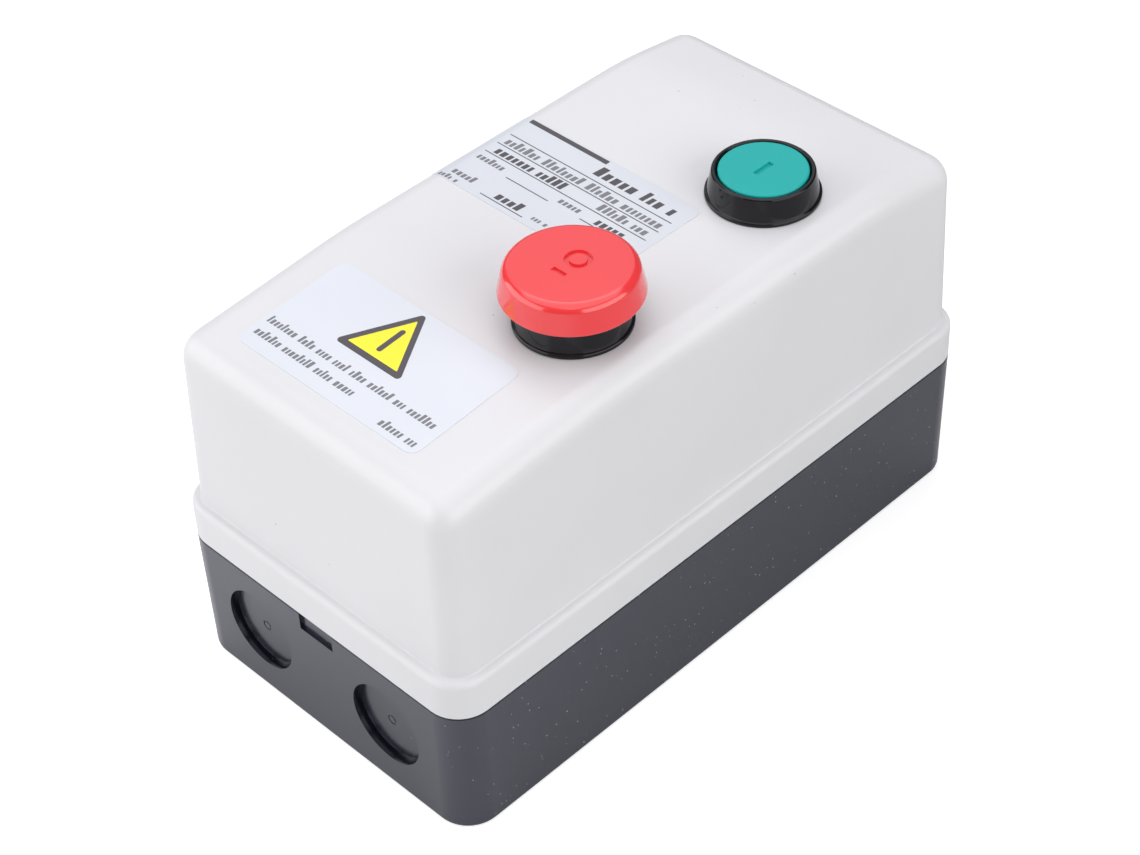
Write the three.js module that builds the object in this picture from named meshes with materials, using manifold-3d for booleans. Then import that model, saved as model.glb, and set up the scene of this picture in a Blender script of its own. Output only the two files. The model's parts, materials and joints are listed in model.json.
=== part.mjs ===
// Direct-on-line motor starter: a two-part plastic enclosure with ON and OFF push buttons on
// its front, over a contactor and the thermal overload relay that plugs into it.
// Millimetres. +Z points out of the front face, +Y to the end with the ON button, and the
// origin is the centre of the flat back.
import * as THREE from "three";
import { mergeVertices } from "three/addons/utils/BufferGeometryUtils.js";
import Module from "manifold-3d";

const wasm = await Module();
wasm.setup();

// ---- driving dimensions ----
const LENGTH = 170; // enclosure along Y, at the parting line
const WIDTH = 92.3; // enclosure along X
const PARTING = 35.8; // back face to the top of the base's wall
const FLANGE_TOP = 46.5; // top of the cover's wider band
const FRONT = 96.9; // flat middle of the front face
const NEAR_EDGE = 93.1; // front face where it meets the cable end
const FAR_EDGE = 93.6; // front face where it meets the ON end
const NEAR_BEND = -32.9; // the front slopes down from here to the cable end
const FAR_BEND = 57.4; // and from here to the ON end
const GAP = 0.3; // between pieces that touch

const BASE_WALL = 3.5;
const FLOOR = 3;
const COVER_WALL = 2.5;
const FLANGE_WALL = 2.2;
const CORNER = 8.2; // plan radius of the base and the flange
const COVER_STEP = 2.2; // the cover's upper wall stands in from the flange
const COVER_EDGE = 6.8; // round of the cover's upright corners and long top edges
const COVER_END_EDGE = 7.5; // round where the front meets the end walls
const COVER_DRAFT = 0.023; // inward lean of the cover's walls, mm per mm
const BASE_DRAFT = 0.0084;
const TONGUE_TOP = 39.8; // the base's locating rim, inside the flange

const KNOCKOUT_R = 10.6;
const KNOCKOUT_X = 21.2;
const KNOCKOUT_Z = 19.4;
const KNOCKOUT_DEPTH = 1.9;

const BUTTON_X = 21.4;
const ON_Y = 38.1;
const OFF_Y = -22.7;
const COLLAR_R = 13.3;
const COLLAR_TOP = 103.45;
const COLLAR_FLOOR = 86.5; // underside of the collar's spring seat
const SHANK_R = 11.9; // of the collar, through the cover
const STEM_R = 3;
const STEM_END = 83.9;
const OFF_TOP = 112;

const MODULE_X = 4; // middle of the contactor and the relay
const MODULE_HALF = 25;
const MODULE_BACK = 5;
const POLE_PITCH = 12;
const POLES = [-1, 0, 1].map((i) => MODULE_X + i * POLE_PITCH);
const CONTACTOR_Y = [-4, 62];
const CONTACTOR_MID = 29;
const CONTACTOR_SPLIT = 38;
const CONTACTOR_TOP = 72;
const TERMINAL_Z = 50; // seat of the contactor's terminal strips
const RELAY_Y = [-62, -13];
const RELAY_SPLIT = 50;
const RELAY_TOP = 76;
const PLUNGER_TOP = STEM_END - GAP;
const CARRIER_TRAVEL = 4.2;

const ALL = [-99, 99]; // wider and longer than the object, for blocks that cut right across
const HALF_W = WIDTH / 2;
const HALF_L = LENGTH / 2;

// ---- materials ----
function plastic(color, roughness = 0.45) {
  return new THREE.MeshStandardMaterial({ color, roughness, metalness: 0 });
}
function metal(color, roughness = 0.35) {
  return new THREE.MeshStandardMaterial({ color, roughness, metalness: 1 });
}
const white = plastic(0xe9e8ec, 0.4);
const charcoal = plastic(0x4b4c54, 0.5);
const glossBlack = plastic(0x1b1c20, 0.2);
const red = plastic(0xf0444a, 0.3);
const green = plastic(0x25a89f, 0.4);
const labelFilm = plastic(0xe4e9f6, 0.5);
const phenolic = plastic(0x26262a, 0.55);
const bobbinCream = plastic(0xd8cfb4, 0.5);
const wireBlue = plastic(0x2c4f9c, 0.45);
const dialYellow = plastic(0xe8c432, 0.45);
const stopRed = plastic(0xc8322e, 0.45);
const steel = metal(0xb9bcc2);
const lamination = metal(0x6f7278, 0.5);
const brass = metal(0xc9a24e);
const copper = metal(0xb8683a);

// ---- solids ----
function solid(geometry) {
  const bare = geometry.index ? geometry.toNonIndexed() : geometry.clone();
  bare.deleteAttribute("normal");
  bare.deleteAttribute("uv");
  const merged = mergeVertices(bare, 1e-4);
  return new wasm.Manifold(
    new wasm.Mesh({
      numProp: 3,
      vertProperties: merged.attributes.position.array,
      triVerts: new Uint32Array(merged.index.array),
    }),
  );
}

function join(first, ...others) {
  return others.reduce((whole, part) => whole.add(part), first);
}

function cut(body, ...tools) {
  return tools.reduce((left, tool) => left.subtract(tool), body);
}

function block([x0, x1], [y0, y1], [z0, z1]) {
  const box = new THREE.BoxGeometry(x1 - x0, y1 - y0, z1 - z0);
  return solid(box.translate((x0 + x1) / 2, (y0 + y1) / 2, (z0 + z1) / 2));
}

// An upright round bar, or one along Y when alongY is set: then `from` and `to` are y values.
function bar(u, v, r, from, to, sides = 20, alongY = false) {
  const shape = new THREE.CylinderGeometry(r, r, to - from, sides);
  const mid = (from + to) / 2;
  if (alongY) return solid(shape.translate(u, mid, v));
  return solid(shape.rotateX(Math.PI / 2).translate(u, v, mid));
}

// A profile of [radius, height] points, turned about an upright axis at (x, y).
function turned(profile, x, y, sides = 28) {
  const make = (points) =>
    solid(
      new THREE.LatheGeometry(points, sides)
        .rotateX(Math.PI / 2)
        .translate(x, y, 0),
    );
  const points = [...profile, profile[0]].map(([r, z]) => new THREE.Vector2(r, z));
  const made = make(points);
  return made.volume() > 0 ? made : make(points.reverse());
}

// A closed outline of [u, v, corner radius] points, anticlockwise, with true arcs.
function outline(points) {
  const shape = new THREE.Shape();
  points.forEach(([u, v, r = 0], i) => {
    const here = new THREE.Vector2(u, v);
    const [before, after] = [points.at(i - 1), points[(i + 1) % points.length]].map(
      ([a, b]) => new THREE.Vector2(a, b).sub(here).normalize(),
    );
    if (!r) {
      shape.lineTo(u, v);
      return;
    }
    const half = Math.acos(before.dot(after)) / 2;
    const reach = r / Math.tan(half);
    const start = here.clone().addScaledVector(before, reach);
    const end = here.clone().addScaledVector(after, reach);
    const centre = before.clone().add(after).normalize();
    centre.multiplyScalar(r / Math.sin(half)).add(here);
    shape.lineTo(start.x, start.y);
    shape.absarc(
      centre.x,
      centre.y,
      r,
      Math.atan2(start.y - centre.y, start.x - centre.x),
      Math.atan2(end.y - centre.y, end.x - centre.x),
      false,
    );
  });
  shape.curves.shift(); // the line from (0, 0) that the first lineTo makes
  return shape;
}

function roundedRect([x0, x1], [y0, y1], r) {
  return outline([
    [x0, y0, r],
    [x1, y0, r],
    [x1, y1, r],
    [x0, y1, r],
  ]);
}

// An outline in X and Y, raised from z0 to z1, with edges rounded by `edge` at both ends.
function raised(shape, z0, z1, { edge = 0, arc = 6, steps = 3 } = {}) {
  const geometry = new THREE.ExtrudeGeometry(shape, {
    depth: z1 - z0 - 2 * edge,
    curveSegments: arc,
    bevelEnabled: edge > 0,
    bevelSize: edge,
    bevelThickness: edge,
    bevelOffset: -edge,
    bevelSegments: steps,
  });
  return geometry.translate(0, 0, z0 + edge);
}

// Leans all four walls in by `draft` per mm of height above z0.
function lean(geometry, draft, z0) {
  const at = geometry.attributes.position;
  for (let i = 0; i < at.count; i++) {
    const inset = draft * (at.getZ(i) - z0);
    at.setX(i, at.getX(i) * (1 - inset / HALF_W));
    at.setY(i, at.getY(i) * (1 - inset / HALF_L));
  }
  return geometry;
}

class Helix extends THREE.Curve {
  constructor(x, y, r, z0, z1, turns) {
    super();
    Object.assign(this, { x, y, r, z0, z1, turns });
  }
  getPoint(t, target = new THREE.Vector3()) {
    const angle = t * this.turns * 2 * Math.PI;
    return target.set(
      this.x + this.r * Math.cos(angle),
      this.y + this.r * Math.sin(angle),
      this.z0 + (this.z1 - this.z0) * t,
    );
  }
}

// Round wire of radius r along a curve.
function drawn(curve, r, steps, sides = 6) {
  const section = new THREE.Shape().absarc(0, 0, r, 0, 2 * Math.PI, false);
  return solid(
    new THREE.ExtrudeGeometry(section, {
      steps,
      curveSegments: sides / 2,
      extrudePath: curve,
    }),
  );
}

function coilSpring(x, y, r, wire, z0, z1, turns) {
  return drawn(new Helix(x, y, r, z0 + wire, z1 - wire, turns), wire, Math.round(turns * 8));
}

// A pan-head screw pointing down, with a driver slot.
function screw(x, y, seat, headR, shankR, tip) {
  const top = seat + headR * 0.75;
  const body = turned(
    [
      [0, tip],
      [shankR, tip + 0.6],
      [shankR, seat],
      [headR, seat],
      [headR, top - 0.6],
      [headR - 0.7, top],
      [0, top],
    ],
    x,
    y,
    10,
  );
  return cut(body, block([x - headR, x + headR], [y - 0.5, y + 0.5], [top - 1.2, top + 1]));
}

const group = new THREE.Group();
function add(name, made, material) {
  const { numProp, numVert, vertProperties, triVerts } = made.getMesh();
  const at = new Float32Array(numVert * 3);
  for (let i = 0; i < numVert; i++) {
    at.set(vertProperties.subarray(i * numProp, i * numProp + 3), i * 3);
  }
  const geometry = new THREE.BufferGeometry();
  geometry.setAttribute("position", new THREE.BufferAttribute(at, 3));
  geometry.setIndex(new THREE.BufferAttribute(triVerts, 1));
  geometry.computeVertexNormals();
  const mesh = new THREE.Mesh(geometry, material);
  mesh.name = name;
  group.add(mesh);
}

// ---- base housing ----
function insetRect(inset, radius = CORNER - inset) {
  return roundedRect(
    [inset - HALF_W, HALF_W - inset],
    [inset - HALF_L, HALF_L - inset],
    radius,
  );
}

const MOUNT_HOLE_R = 2.6;
const MOUNT_X = 33;
const MOUNT_Y = 64;
const KEYHOLE_DROP = 7;
const KEYHOLE_MOUTH_R = 4.6;
const TAB_SCREWS = [
  [-13.2, -8],
  [21.2, 66],
];
const EARTH = { x: -31, y: -30, z: 8 };

// The two fixing holes near the cable end are round, and the two near the ON end are keyholes.
function mountingHole(x, y) {
  const hole = bar(x, y, MOUNT_HOLE_R, -1, 12, 12);
  if (y < 0) return hole;
  const mouth = y - KEYHOLE_DROP;
  const neck = block([x - MOUNT_HOLE_R, x + MOUNT_HOLE_R], [mouth, y], [-1, 12]);
  return join(hole, bar(x, mouth, KEYHOLE_MOUTH_R, -1, 12, 14), neck);
}

// A round bar along Y in an end wall, from one distance off the middle of the base to another.
function endBar(end, x, r, from, to) {
  return bar(x, KNOCKOUT_Z, r, Math.min(end * from, end * to), Math.max(end * from, end * to), 24, true);
}

function baseHousing() {
  const skin = lean(raised(insetRect(0), 0, PARTING + 3, { edge: 1.2, steps: 2 }), -BASE_DRAFT, PARTING);
  const wall = solid(skin).intersect(block(ALL, ALL, [-1, PARTING]));
  const tongue = solid(raised(insetRect(FLANGE_WALL + GAP), PARTING - 2, TONGUE_TOP, { arc: 4 }));
  const hollow = solid(raised(insetRect(BASE_WALL), FLOOR, 60, { edge: 1, arc: 4, steps: 1 }));
  const knockouts = [-1, 1].flatMap((end) => [-KNOCKOUT_X, KNOCKOUT_X].map((x) => [end, x]));
  const recesses = knockouts.map(([end, x]) =>
    endBar(end, x, KNOCKOUT_R, HALF_L - 0.2 - KNOCKOUT_DEPTH, 99),
  );
  const shell = cut(join(wall, tongue), hollow, ...recesses);
  const padX = [MODULE_X - 22, MODULE_X + 22];
  const padRows = [-60, -24, -3, 51].map((y) => block(padX, [y, y + 8], [2, MODULE_BACK - GAP]));
  const screwPads = TAB_SCREWS.map(([x, y]) => bar(x, y, 4.2, 2, MODULE_BACK - GAP, 14));
  const earthPad = block([EARTH.x - 6, EARTH.x + 6], [EARTH.y - 5, EARTH.y + 5], [2, EARTH.z]);
  const mounting = [-MOUNT_X, MOUNT_X].flatMap((x) => [-MOUNT_Y, MOUNT_Y].map((y) => mountingHole(x, y)));
  const screwHoles = TAB_SCREWS.map(([x, y]) => bar(x, y, 2.2, 1.2, 9, 12));
  const earthHole = bar(EARTH.x, EARTH.y, 2, 3, 9, 12);
  const pryNotch = block([-5.4, 5.4], [-99, 1.1 - HALF_L], [31.2, PARTING + 1]);
  const hookRoom = [HALF_L - BASE_WALL - 1, HALF_L - 2];
  const hookPocket = block([-8, 8], hookRoom, [30, 32.6]);
  const hookGap = block([-8, 8], hookRoom, [PARTING, TONGUE_TOP + 1]); // lets the hook tilt out
  return cut(
    join(shell, ...padRows, ...screwPads, earthPad),
    ...mounting,
    ...screwHoles,
    earthHole,
    pryNotch,
    hookPocket,
    hookGap,
  );
}
add("base_housing", baseHousing(), charcoal);

// ---- front cover ----
const COVER_BOTTOM = PARTING + 0.2;
const HOOK_FOOT = 30.6;
const COVER_HALF_W = HALF_W - COVER_STEP + 0.3;
const COVER_HALF_L = HALF_L - COVER_STEP - 0.3;

// The cover's side profile, run across its width; `inset` makes the hollow inside it.
function coverForm(inset, bottom) {
  const end = COVER_HALF_L - inset;
  const profile = outline([
    [-end, bottom],
    [end, bottom],
    [end, FAR_EDGE - inset, COVER_END_EDGE - inset],
    [FAR_BEND, FRONT - inset],
    [NEAR_BEND, FRONT - inset],
    [-end, NEAR_EDGE - inset, COVER_END_EDGE - inset],
  ]);
  const half = COVER_HALF_W - inset;
  const fine = inset > 0 ? { arc: 3, steps: 2 } : { arc: 5, steps: 4 };
  const across = raised(profile, -half, half, { edge: COVER_EDGE - inset, ...fine });
  const turn = new THREE.Matrix4().makeBasis(
    new THREE.Vector3(0, 1, 0),
    new THREE.Vector3(0, 0, 1),
    new THREE.Vector3(1, 0, 0),
  );
  return solid(lean(across.applyMatrix4(turn), COVER_DRAFT, FLANGE_TOP));
}

function frontCover() {
  const below = block(ALL, ALL, [-20, COVER_BOTTOM]);
  const upper = cut(coverForm(0, 20), block(ALL, ALL, [-20, FLANGE_TOP - 3]));
  const flange = solid(raised(insetRect(0), PARTING - 5, FLANGE_TOP, { edge: 2.2 }));
  const flangeRoom = raised(insetRect(FLANGE_WALL), PARTING - 5, FLANGE_TOP - FLANGE_WALL, { arc: 4 });
  // a tab hangs from each end wall: the far one ends in a hook, the near one snaps in
  const tabs = [-1, 1].map((end) => {
    const [inner, outer, tied] = [78.4, 79.8, 81].map((y) => end * y);
    const along = (a, b) => [Math.min(a, b), Math.max(a, b)];
    const foot = end < 0 ? 32 : HOOK_FOOT;
    return join(
      block([-7, 7], along(inner, outer), [foot, 50]),
      block([-7, 7], along(inner, tied), [46, 50]),
    );
  });
  const hookNose = block([-7, 7], [79.6, HALF_L - 2.8], [HOOK_FOOT, HOOK_FOOT + 1]);
  const shell = cut(join(upper, flange), coverForm(COVER_WALL, 10), solid(flangeRoom), below);
  return cut(
    join(shell, ...tabs, hookNose),
    ...[ON_Y, OFF_Y].map((y) => bar(BUTTON_X, y, SHANK_R + GAP, 80, 120, 24)),
  );
}
add("front_cover", frontCover(), white);

// ---- labels: thin films that follow the cover's surface ----
const FILM = 0.2;
const FILM_LIFT = 0.06;
function film(x, y) {
  const layer = cut(coverForm(-FILM_LIFT - FILM, 40), coverForm(-FILM_LIFT, 30));
  return layer.intersect(solid(raised(roundedRect(x, y, 2.5), 88, 100, { arc: 4 })));
}
// the rating label is wide enough to turn down over the cover's left edge
add("rating_label", film([-41.9, 16.2], [-6.1, 23.6]), labelFilm);
add("caution_label", film([-30, 25.2], [-73.3, -41]), labelFilm);

// ---- push buttons ----
function collar(y) {
  return turned(
    [
      [STEM_R + 0.4, COLLAR_FLOOR],
      [SHANK_R, COLLAR_FLOOR],
      [SHANK_R, FRONT + 0.1],
      [COLLAR_R, FRONT + 0.1],
      [COLLAR_R, FRONT + 0.8],
      [COLLAR_R - 0.4, FRONT + 1.2],
      [11.85, COLLAR_TOP - 0.7],
      [11.4, COLLAR_TOP],
      [10.85, COLLAR_TOP],
      [10.6, COLLAR_TOP - 0.35],
      [10.6, COLLAR_FLOOR + 2],
      [STEM_R + 0.4, COLLAR_FLOOR + 2],
    ],
    BUTTON_X,
    y,
    24,
  );
}

function ringNut(y) {
  const top = FRONT - COVER_WALL - 2 * GAP;
  const ring = cut(bar(BUTTON_X, y, 14.6, top - 3.2, top, 24), bar(BUTTON_X, y, 12.3, 80, 99, 24));
  const slot = (turn) => {
    const s = new THREE.BoxGeometry(3, 33, 4).rotateZ(turn);
    return solid(s.translate(BUTTON_X, y, top - 3.6));
  };
  return cut(ring, slot(0), slot(Math.PI / 2));
}

function snapClip(y) {
  const top = COLLAR_FLOOR - GAP;
  const ring = cut(bar(BUTTON_X, y, 5, top - 1, top, 14), bar(BUTTON_X, y, STEM_R + 0.3, 80, 90, 14));
  return cut(ring, block([BUTTON_X - 1, BUTTON_X + 1], [y, y + 6], [80, 90]));
}

const HUB_R = 10.3;
const HUB_FOOT = 95;
const ON_TOP = 103.6;
const ON_SEAT = 100.5; // where the spring presses under the ON button
const OFF_SEAT = 102;
const stem = (seat) => [
  [8.3, HUB_FOOT],
  [8.3, seat],
  [STEM_R, seat],
  [STEM_R, STEM_END],
  [0, STEM_END],
];
const onProfile = [
  [0, ON_TOP],
  [HUB_R - 0.5, ON_TOP],
  [HUB_R, ON_TOP - 0.5],
  [HUB_R, HUB_FOOT],
  ...stem(ON_SEAT),
];
const offProfile = [
  [0, OFF_TOP],
  [13.4, OFF_TOP],
  [14.5, OFF_TOP - 0.4],
  [15.2, OFF_TOP - 1.3],
  [16, 105.4],
  [15.7, 104.9],
  [14.5, 104.9],
  [14.1, 109],
  [HUB_R, 109],
  [HUB_R, HUB_FOOT],
  ...stem(OFF_SEAT),
];
for (const [name, y, profile, seat, material] of [
  ["on", ON_Y, onProfile, ON_SEAT, green],
  ["off", OFF_Y, offProfile, OFF_SEAT, red],
]) {
  add(`${name}_collar`, collar(y), glossBlack);
  add(`${name}_ring_nut`, ringNut(y), phenolic);
  add(`${name}_button`, turned(profile, BUTTON_X, y, 26), material);
  add(`${name}_clip`, snapClip(y), steel);
  const foot = COLLAR_FLOOR + 2 + GAP;
  add(`${name}_spring`, coilSpring(BUTTON_X, y, 5.6, 0.45, foot, seat - GAP, 4), steel);
}

// ---- contactor ----
const moduleX = [MODULE_X - MODULE_HALF, MODULE_X + MODULE_HALF];
const mid = CONTACTOR_MID;

function contactorBase() {
  const foot = [MODULE_BACK, MODULE_BACK + 4];
  const body = join(
    block(moduleX, CONTACTOR_Y, [MODULE_BACK, CONTACTOR_SPLIT]),
    block([moduleX[0], -8], [-12.4, -3], foot),
    block([16, moduleX[1]], [61, 70.4], foot),
  );
  const well = block([-14, 22], [mid - 23.5, mid + 23.5], [9, 60]);
  return cut(body, well, ...TAB_SCREWS.map(([x, y]) => bar(x, y, 2.3, 0, 12, 12)));
}
add("contactor_base", contactorBase(), phenolic);

const SHAFT = { x: [-13.6, 21.6], y: [mid - 5.1, mid + 5.1] };
function contactorHead() {
  const floor = CONTACTOR_SPLIT + GAP;
  const body = block(moduleX, CONTACTOR_Y, [floor, CONTACTOR_TOP]);
  const yokeRoom = block([-5, 13], [mid - 23.5, mid + 23.5], [floor - 1, 46.5]);
  const shaft = block(SHAFT.x, SHAFT.y, [floor - 1, 67]);
  const peephole = block([-1.6, 9.6], [mid - 3.6, mid + 3.6], [66, 80]);
  let head = cut(body, yokeRoom, shaft, peephole);
  for (const x of POLES) {
    const chamber = block([x - 4, x + 4], [mid - 15, mid + 15], [TERMINAL_Z, 62]);
    const slot = block([x - 4, x + 4], [CONTACTOR_Y[0] - 1, CONTACTOR_Y[1] + 1], [TERMINAL_Z, 52]);
    const lineBay = block([x - 4.7, x + 4.7], [48, 63], [TERMINAL_Z, 80]);
    const loadBay = block([x - 4.7, x + 4.7], [-5, 10], [TERMINAL_Z, 80]);
    const screwHoles = [55, 3].map((y) => bar(x, y, 2.1, 43, 51, 12));
    head = cut(head, chamber, slot, lineBay, loadBay, ...screwHoles);
  }
  return head;
}
add("contactor_head", contactorHead(), phenolic);

// An E-shaped stack of laminations; `up` is +1 for the fixed core and -1 for the armature.
function eCore(yokeZ, legEnd, up) {
  const [halfOuter, leg, halfCentre, yoke] = [22, 7, 6, 6.5];
  const yokeEnd = yokeZ + up * yoke;
  const range = (a, b) => [Math.min(a, b), Math.max(a, b)];
  const x = [MODULE_X - 7, MODULE_X + 7];
  return join(
    block(x, [mid - halfOuter, mid + halfOuter], range(yokeZ, yokeEnd)),
    block(x, [mid - halfOuter, mid - halfOuter + leg], range(yokeZ, legEnd)),
    block(x, [mid + halfOuter - leg, mid + halfOuter], range(yokeZ, legEnd)),
    block(x, [mid - halfCentre, mid + halfCentre], range(yokeZ, legEnd)),
  );
}
const CORE_TOP = 27;
const ARMATURE_LEGS = CORE_TOP + CARRIER_TRAVEL + GAP;
add("magnet_core", eCore(9.3, CORE_TOP, 1), lamination);
add("armature", eCore(45, ARMATURE_LEGS, -1), lamination);

const BOBBIN = [16.6, 31];
function bobbin() {
  const flange = (z) => block([-12, 20], [mid - 14.4, mid + 14.4], z);
  const tube = block([-4.7, 12.7], [mid - 7.7, mid + 7.7], BOBBIN);
  const lower = flange([BOBBIN[0], BOBBIN[0] + 1.2]);
  const upper = flange([BOBBIN[1] - 1.2, BOBBIN[1]]);
  return cut(join(tube, lower, upper), block([-3.5, 11.5], [mid - 6.5, mid + 6.5], [0, 60]));
}
add("coil_bobbin", bobbin(), bobbinCream);
const windingRange = [BOBBIN[0] + 1.5, BOBBIN[1] - 1.5];
const winding = solid(
  raised(roundedRect([-11, 19], [mid - 13.4, mid + 13.4], 3), ...windingRange, { arc: 4 }),
);
add("coil_winding", cut(winding, block([-5, 13], [mid - 8, mid + 8], [0, 60])), copper);

function contactCarrier() {
  const body = join(
    block([-13, 21], [mid - 4.5, mid + 4.5], [45.3, 66]),
    block([-1, 9], [mid - 3, mid + 3], [65, CONTACTOR_TOP + 1.5]),
  );
  return cut(body, ...POLES.map((x) => block([x - 3.6, x + 3.6], [0, 60], [55.7, 60.4])));
}
add("contact_carrier", contactCarrier(), stopRed);
const springSeat = BOBBIN[1] + GAP;
add("carrier_spring", coilSpring(MODULE_X, mid, 10.6, 0.4, springSeat, 38.2, 2.5), steel);

const STRIP = [TERMINAL_Z + GAP, TERMINAL_Z + 1.5];
const FIXED_FACE = STRIP[1] + 0.4; // of the terminals' contacts
const CONTACT_FACE = FIXED_FACE + CARRIER_TRAVEL + GAP; // of the bridges' contacts
const TERMINAL_SCREW_Y = { line: 55, load: 3 };
POLES.forEach((x, i) => {
  const n = i + 1;
  const strip = join(
    block([x - 3, x + 3], [mid - 13, mid + 13], [57, 58.2]),
    block([x - 2, x + 2], [mid + 8.4, mid + 12.4], [CONTACT_FACE, 57.4]),
    block([x - 2, x + 2], [mid - 12.4, mid - 8.4], [CONTACT_FACE, 57.4]),
  );
  add(`contact_bridge_${n}`, strip, brass);
  for (const side of ["line", "load"]) {
    const away = side === "line" ? 1 : -1;
    const hole = TERMINAL_SCREW_Y[side];
    const range = (a, b) => [mid + away * a, mid + away * b].sort((p, q) => p - q);
    const strap = join(
      block([x - 3.6, x + 3.6], range(8.4, 32.6), STRIP),
      block([x - 2, x + 2], range(8.6, 12.4), [STRIP[1] - 0.2, FIXED_FACE]),
    );
    add(`${side}_terminal_${n}`, cut(strap, bar(x, hole, 2.1, 40, 60, 12)), brass);
    const seat = side === "line" ? STRIP[1] + GAP : STRIP[1] + 1.7;
    add(`${side}_screw_${n}`, screw(x, hole, seat, 3.6, 1.75, 44), steel);
  }
});

TAB_SCREWS.forEach(([x, y], i) => {
  add(`contactor_screw_${i + 1}`, screw(x, y, MODULE_BACK + 4 + GAP, 3.5, 1.8, 2), steel);
});

// ---- start contact, worked by the ON button ----
function startSwitch() {
  const box = block([BUTTON_X - 6.6, BUTTON_X + 6.6], [28.4, 47.8], [CONTACTOR_TOP + GAP, 79.4]);
  const step = block([BUTTON_X - 6.6, BUTTON_X + 6.6], [27, 49.2], [CONTACTOR_TOP + GAP, 75]);
  return cut(join(box, step), bar(BUTTON_X, ON_Y, 2.9, 73.6, 90, 16));
}
add("start_switch", startSwitch(), bobbinCream);
const PLUNGER_FOOT = PLUNGER_TOP - 5.8;
add(
  "start_plunger",
  turned(
    [
      [0, PLUNGER_FOOT],
      [2.5, PLUNGER_FOOT],
      [2.5, PLUNGER_TOP - 0.5],
      [2, PLUNGER_TOP],
      [0, PLUNGER_TOP],
    ],
    BUTTON_X,
    ON_Y,
    16,
  ),
  green,
);

// ---- overload relay, worked by the OFF button ----
const DIAL = { x: -6, y: -32, r: 5.5, top: 78.6 };
const MOTOR_SCREW_Y = -56;
const TERRACE = 44;

function relayBase() {
  const body = block(moduleX, RELAY_Y, [MODULE_BACK, RELAY_SPLIT]);
  const terrace = block([-30, 40], [-70, -48.4], [TERRACE, 60]);
  const well = block([-14, 22], [-45.5, -16.5], [8, 60]);
  const barriers = [-0.5, 0.5].map((i) => {
    const x = MODULE_X + i * POLE_PITCH;
    return block([x - 0.8, x + 0.8], [RELAY_Y[0], -48], [TERRACE - 1, RELAY_SPLIT]);
  });
  const holes = POLES.map((x) => bar(x, MOTOR_SCREW_Y, 2.1, 36, 60, 12));
  return cut(join(cut(body, terrace, well), ...barriers), ...holes);
}
add("relay_base", relayBase(), phenolic);

function relayCover() {
  const floor = RELAY_SPLIT + GAP;
  const body = block(moduleX, [-48, RELAY_Y[1]], [floor, RELAY_TOP]);
  const wellX = [MODULE_X - MODULE_HALF + 2.2, MODULE_X + MODULE_HALF - 2.2];
  const well = block(wellX, [-45.5, -15.5], [floor - 1, RELAY_TOP - 2.5]);
  const dialSeat = bar(DIAL.x, DIAL.y, DIAL.r + 0.5, RELAY_TOP - 1, 80, 24);
  const dialHole = bar(DIAL.x, DIAL.y, 2.9, 70, 80, 16);
  const resetHole = bar(BUTTON_X, OFF_Y, 3.4, 70, 80, 16);
  const linkSlots = POLES.map((x) => block([x - 2.8, x + 2.8], [-16, -12], [floor - 1, 53.4]));
  return cut(body, well, dialSeat, dialHole, resetHole, ...linkSlots);
}
add("relay_cover", relayCover(), phenolic);

POLES.forEach((x, i) => {
  const n = i + 1;
  const linkZ = [STRIP[1] + GAP, STRIP[1] + 1.4];
  add(`relay_link_${n}`, block([x - 2.3, x + 2.3], [-33, 1], linkZ), copper);
  const heater = join(
    block([x - 3, x + 3], [-32, -30.8], [8.3, STRIP[1]]),
    block([x - 4, x + 4], [-33.4, -29.4], [16, 36]),
  );
  add(`heater_strip_${n}`, heater, copper);
  add(`motor_screw_${n}`, screw(x, MOTOR_SCREW_Y, TERRACE + GAP, 3.6, 1.75, 38), steel);
});

add("trip_bar", block([-13, 21], [-29, -27.4], [40, 45]), bobbinCream);
add(
  "reset_plunger",
  turned(
    [
      [0, 58],
      [3, 58],
      [3, 66],
      [4.6, 66],
      [4.6, 68],
      [3, 68],
      [3, PLUNGER_TOP - 0.5],
      [2.4, PLUNGER_TOP],
      [0, PLUNGER_TOP],
    ],
    BUTTON_X,
    OFF_Y,
    18,
  ),
  stopRed,
);

function currentDial() {
  const knob = turned(
    [
      [0, 69],
      [2.5, 69],
      [2.5, RELAY_TOP - 0.7],
      [DIAL.r, RELAY_TOP - 0.7],
      [DIAL.r, DIAL.top - 0.5],
      [DIAL.r - 0.5, DIAL.top],
      [0, DIAL.top],
    ],
    DIAL.x,
    DIAL.y,
    24,
  );
  const slot = block(
    [DIAL.x - 0.6, DIAL.x + 0.6],
    [DIAL.y - 4, DIAL.y + 4],
    [DIAL.top - 1, DIAL.top + 1],
  );
  return cut(knob, slot);
}
add("current_dial", currentDial(), dialYellow);

// ---- earth terminal ----
const earthBar = block(
  [EARTH.x - 5.6, EARTH.x + 5.6],
  [EARTH.y - 4, EARTH.y + 4],
  [EARTH.z + GAP, EARTH.z + 2],
);
add("earth_bar", cut(earthBar, bar(EARTH.x, EARTH.y, 2, 0, 20, 12)), brass);
add("earth_screw", screw(EARTH.x, EARTH.y, EARTH.z + 2 + GAP, 3.6, 1.7, 3.6), green);

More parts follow.
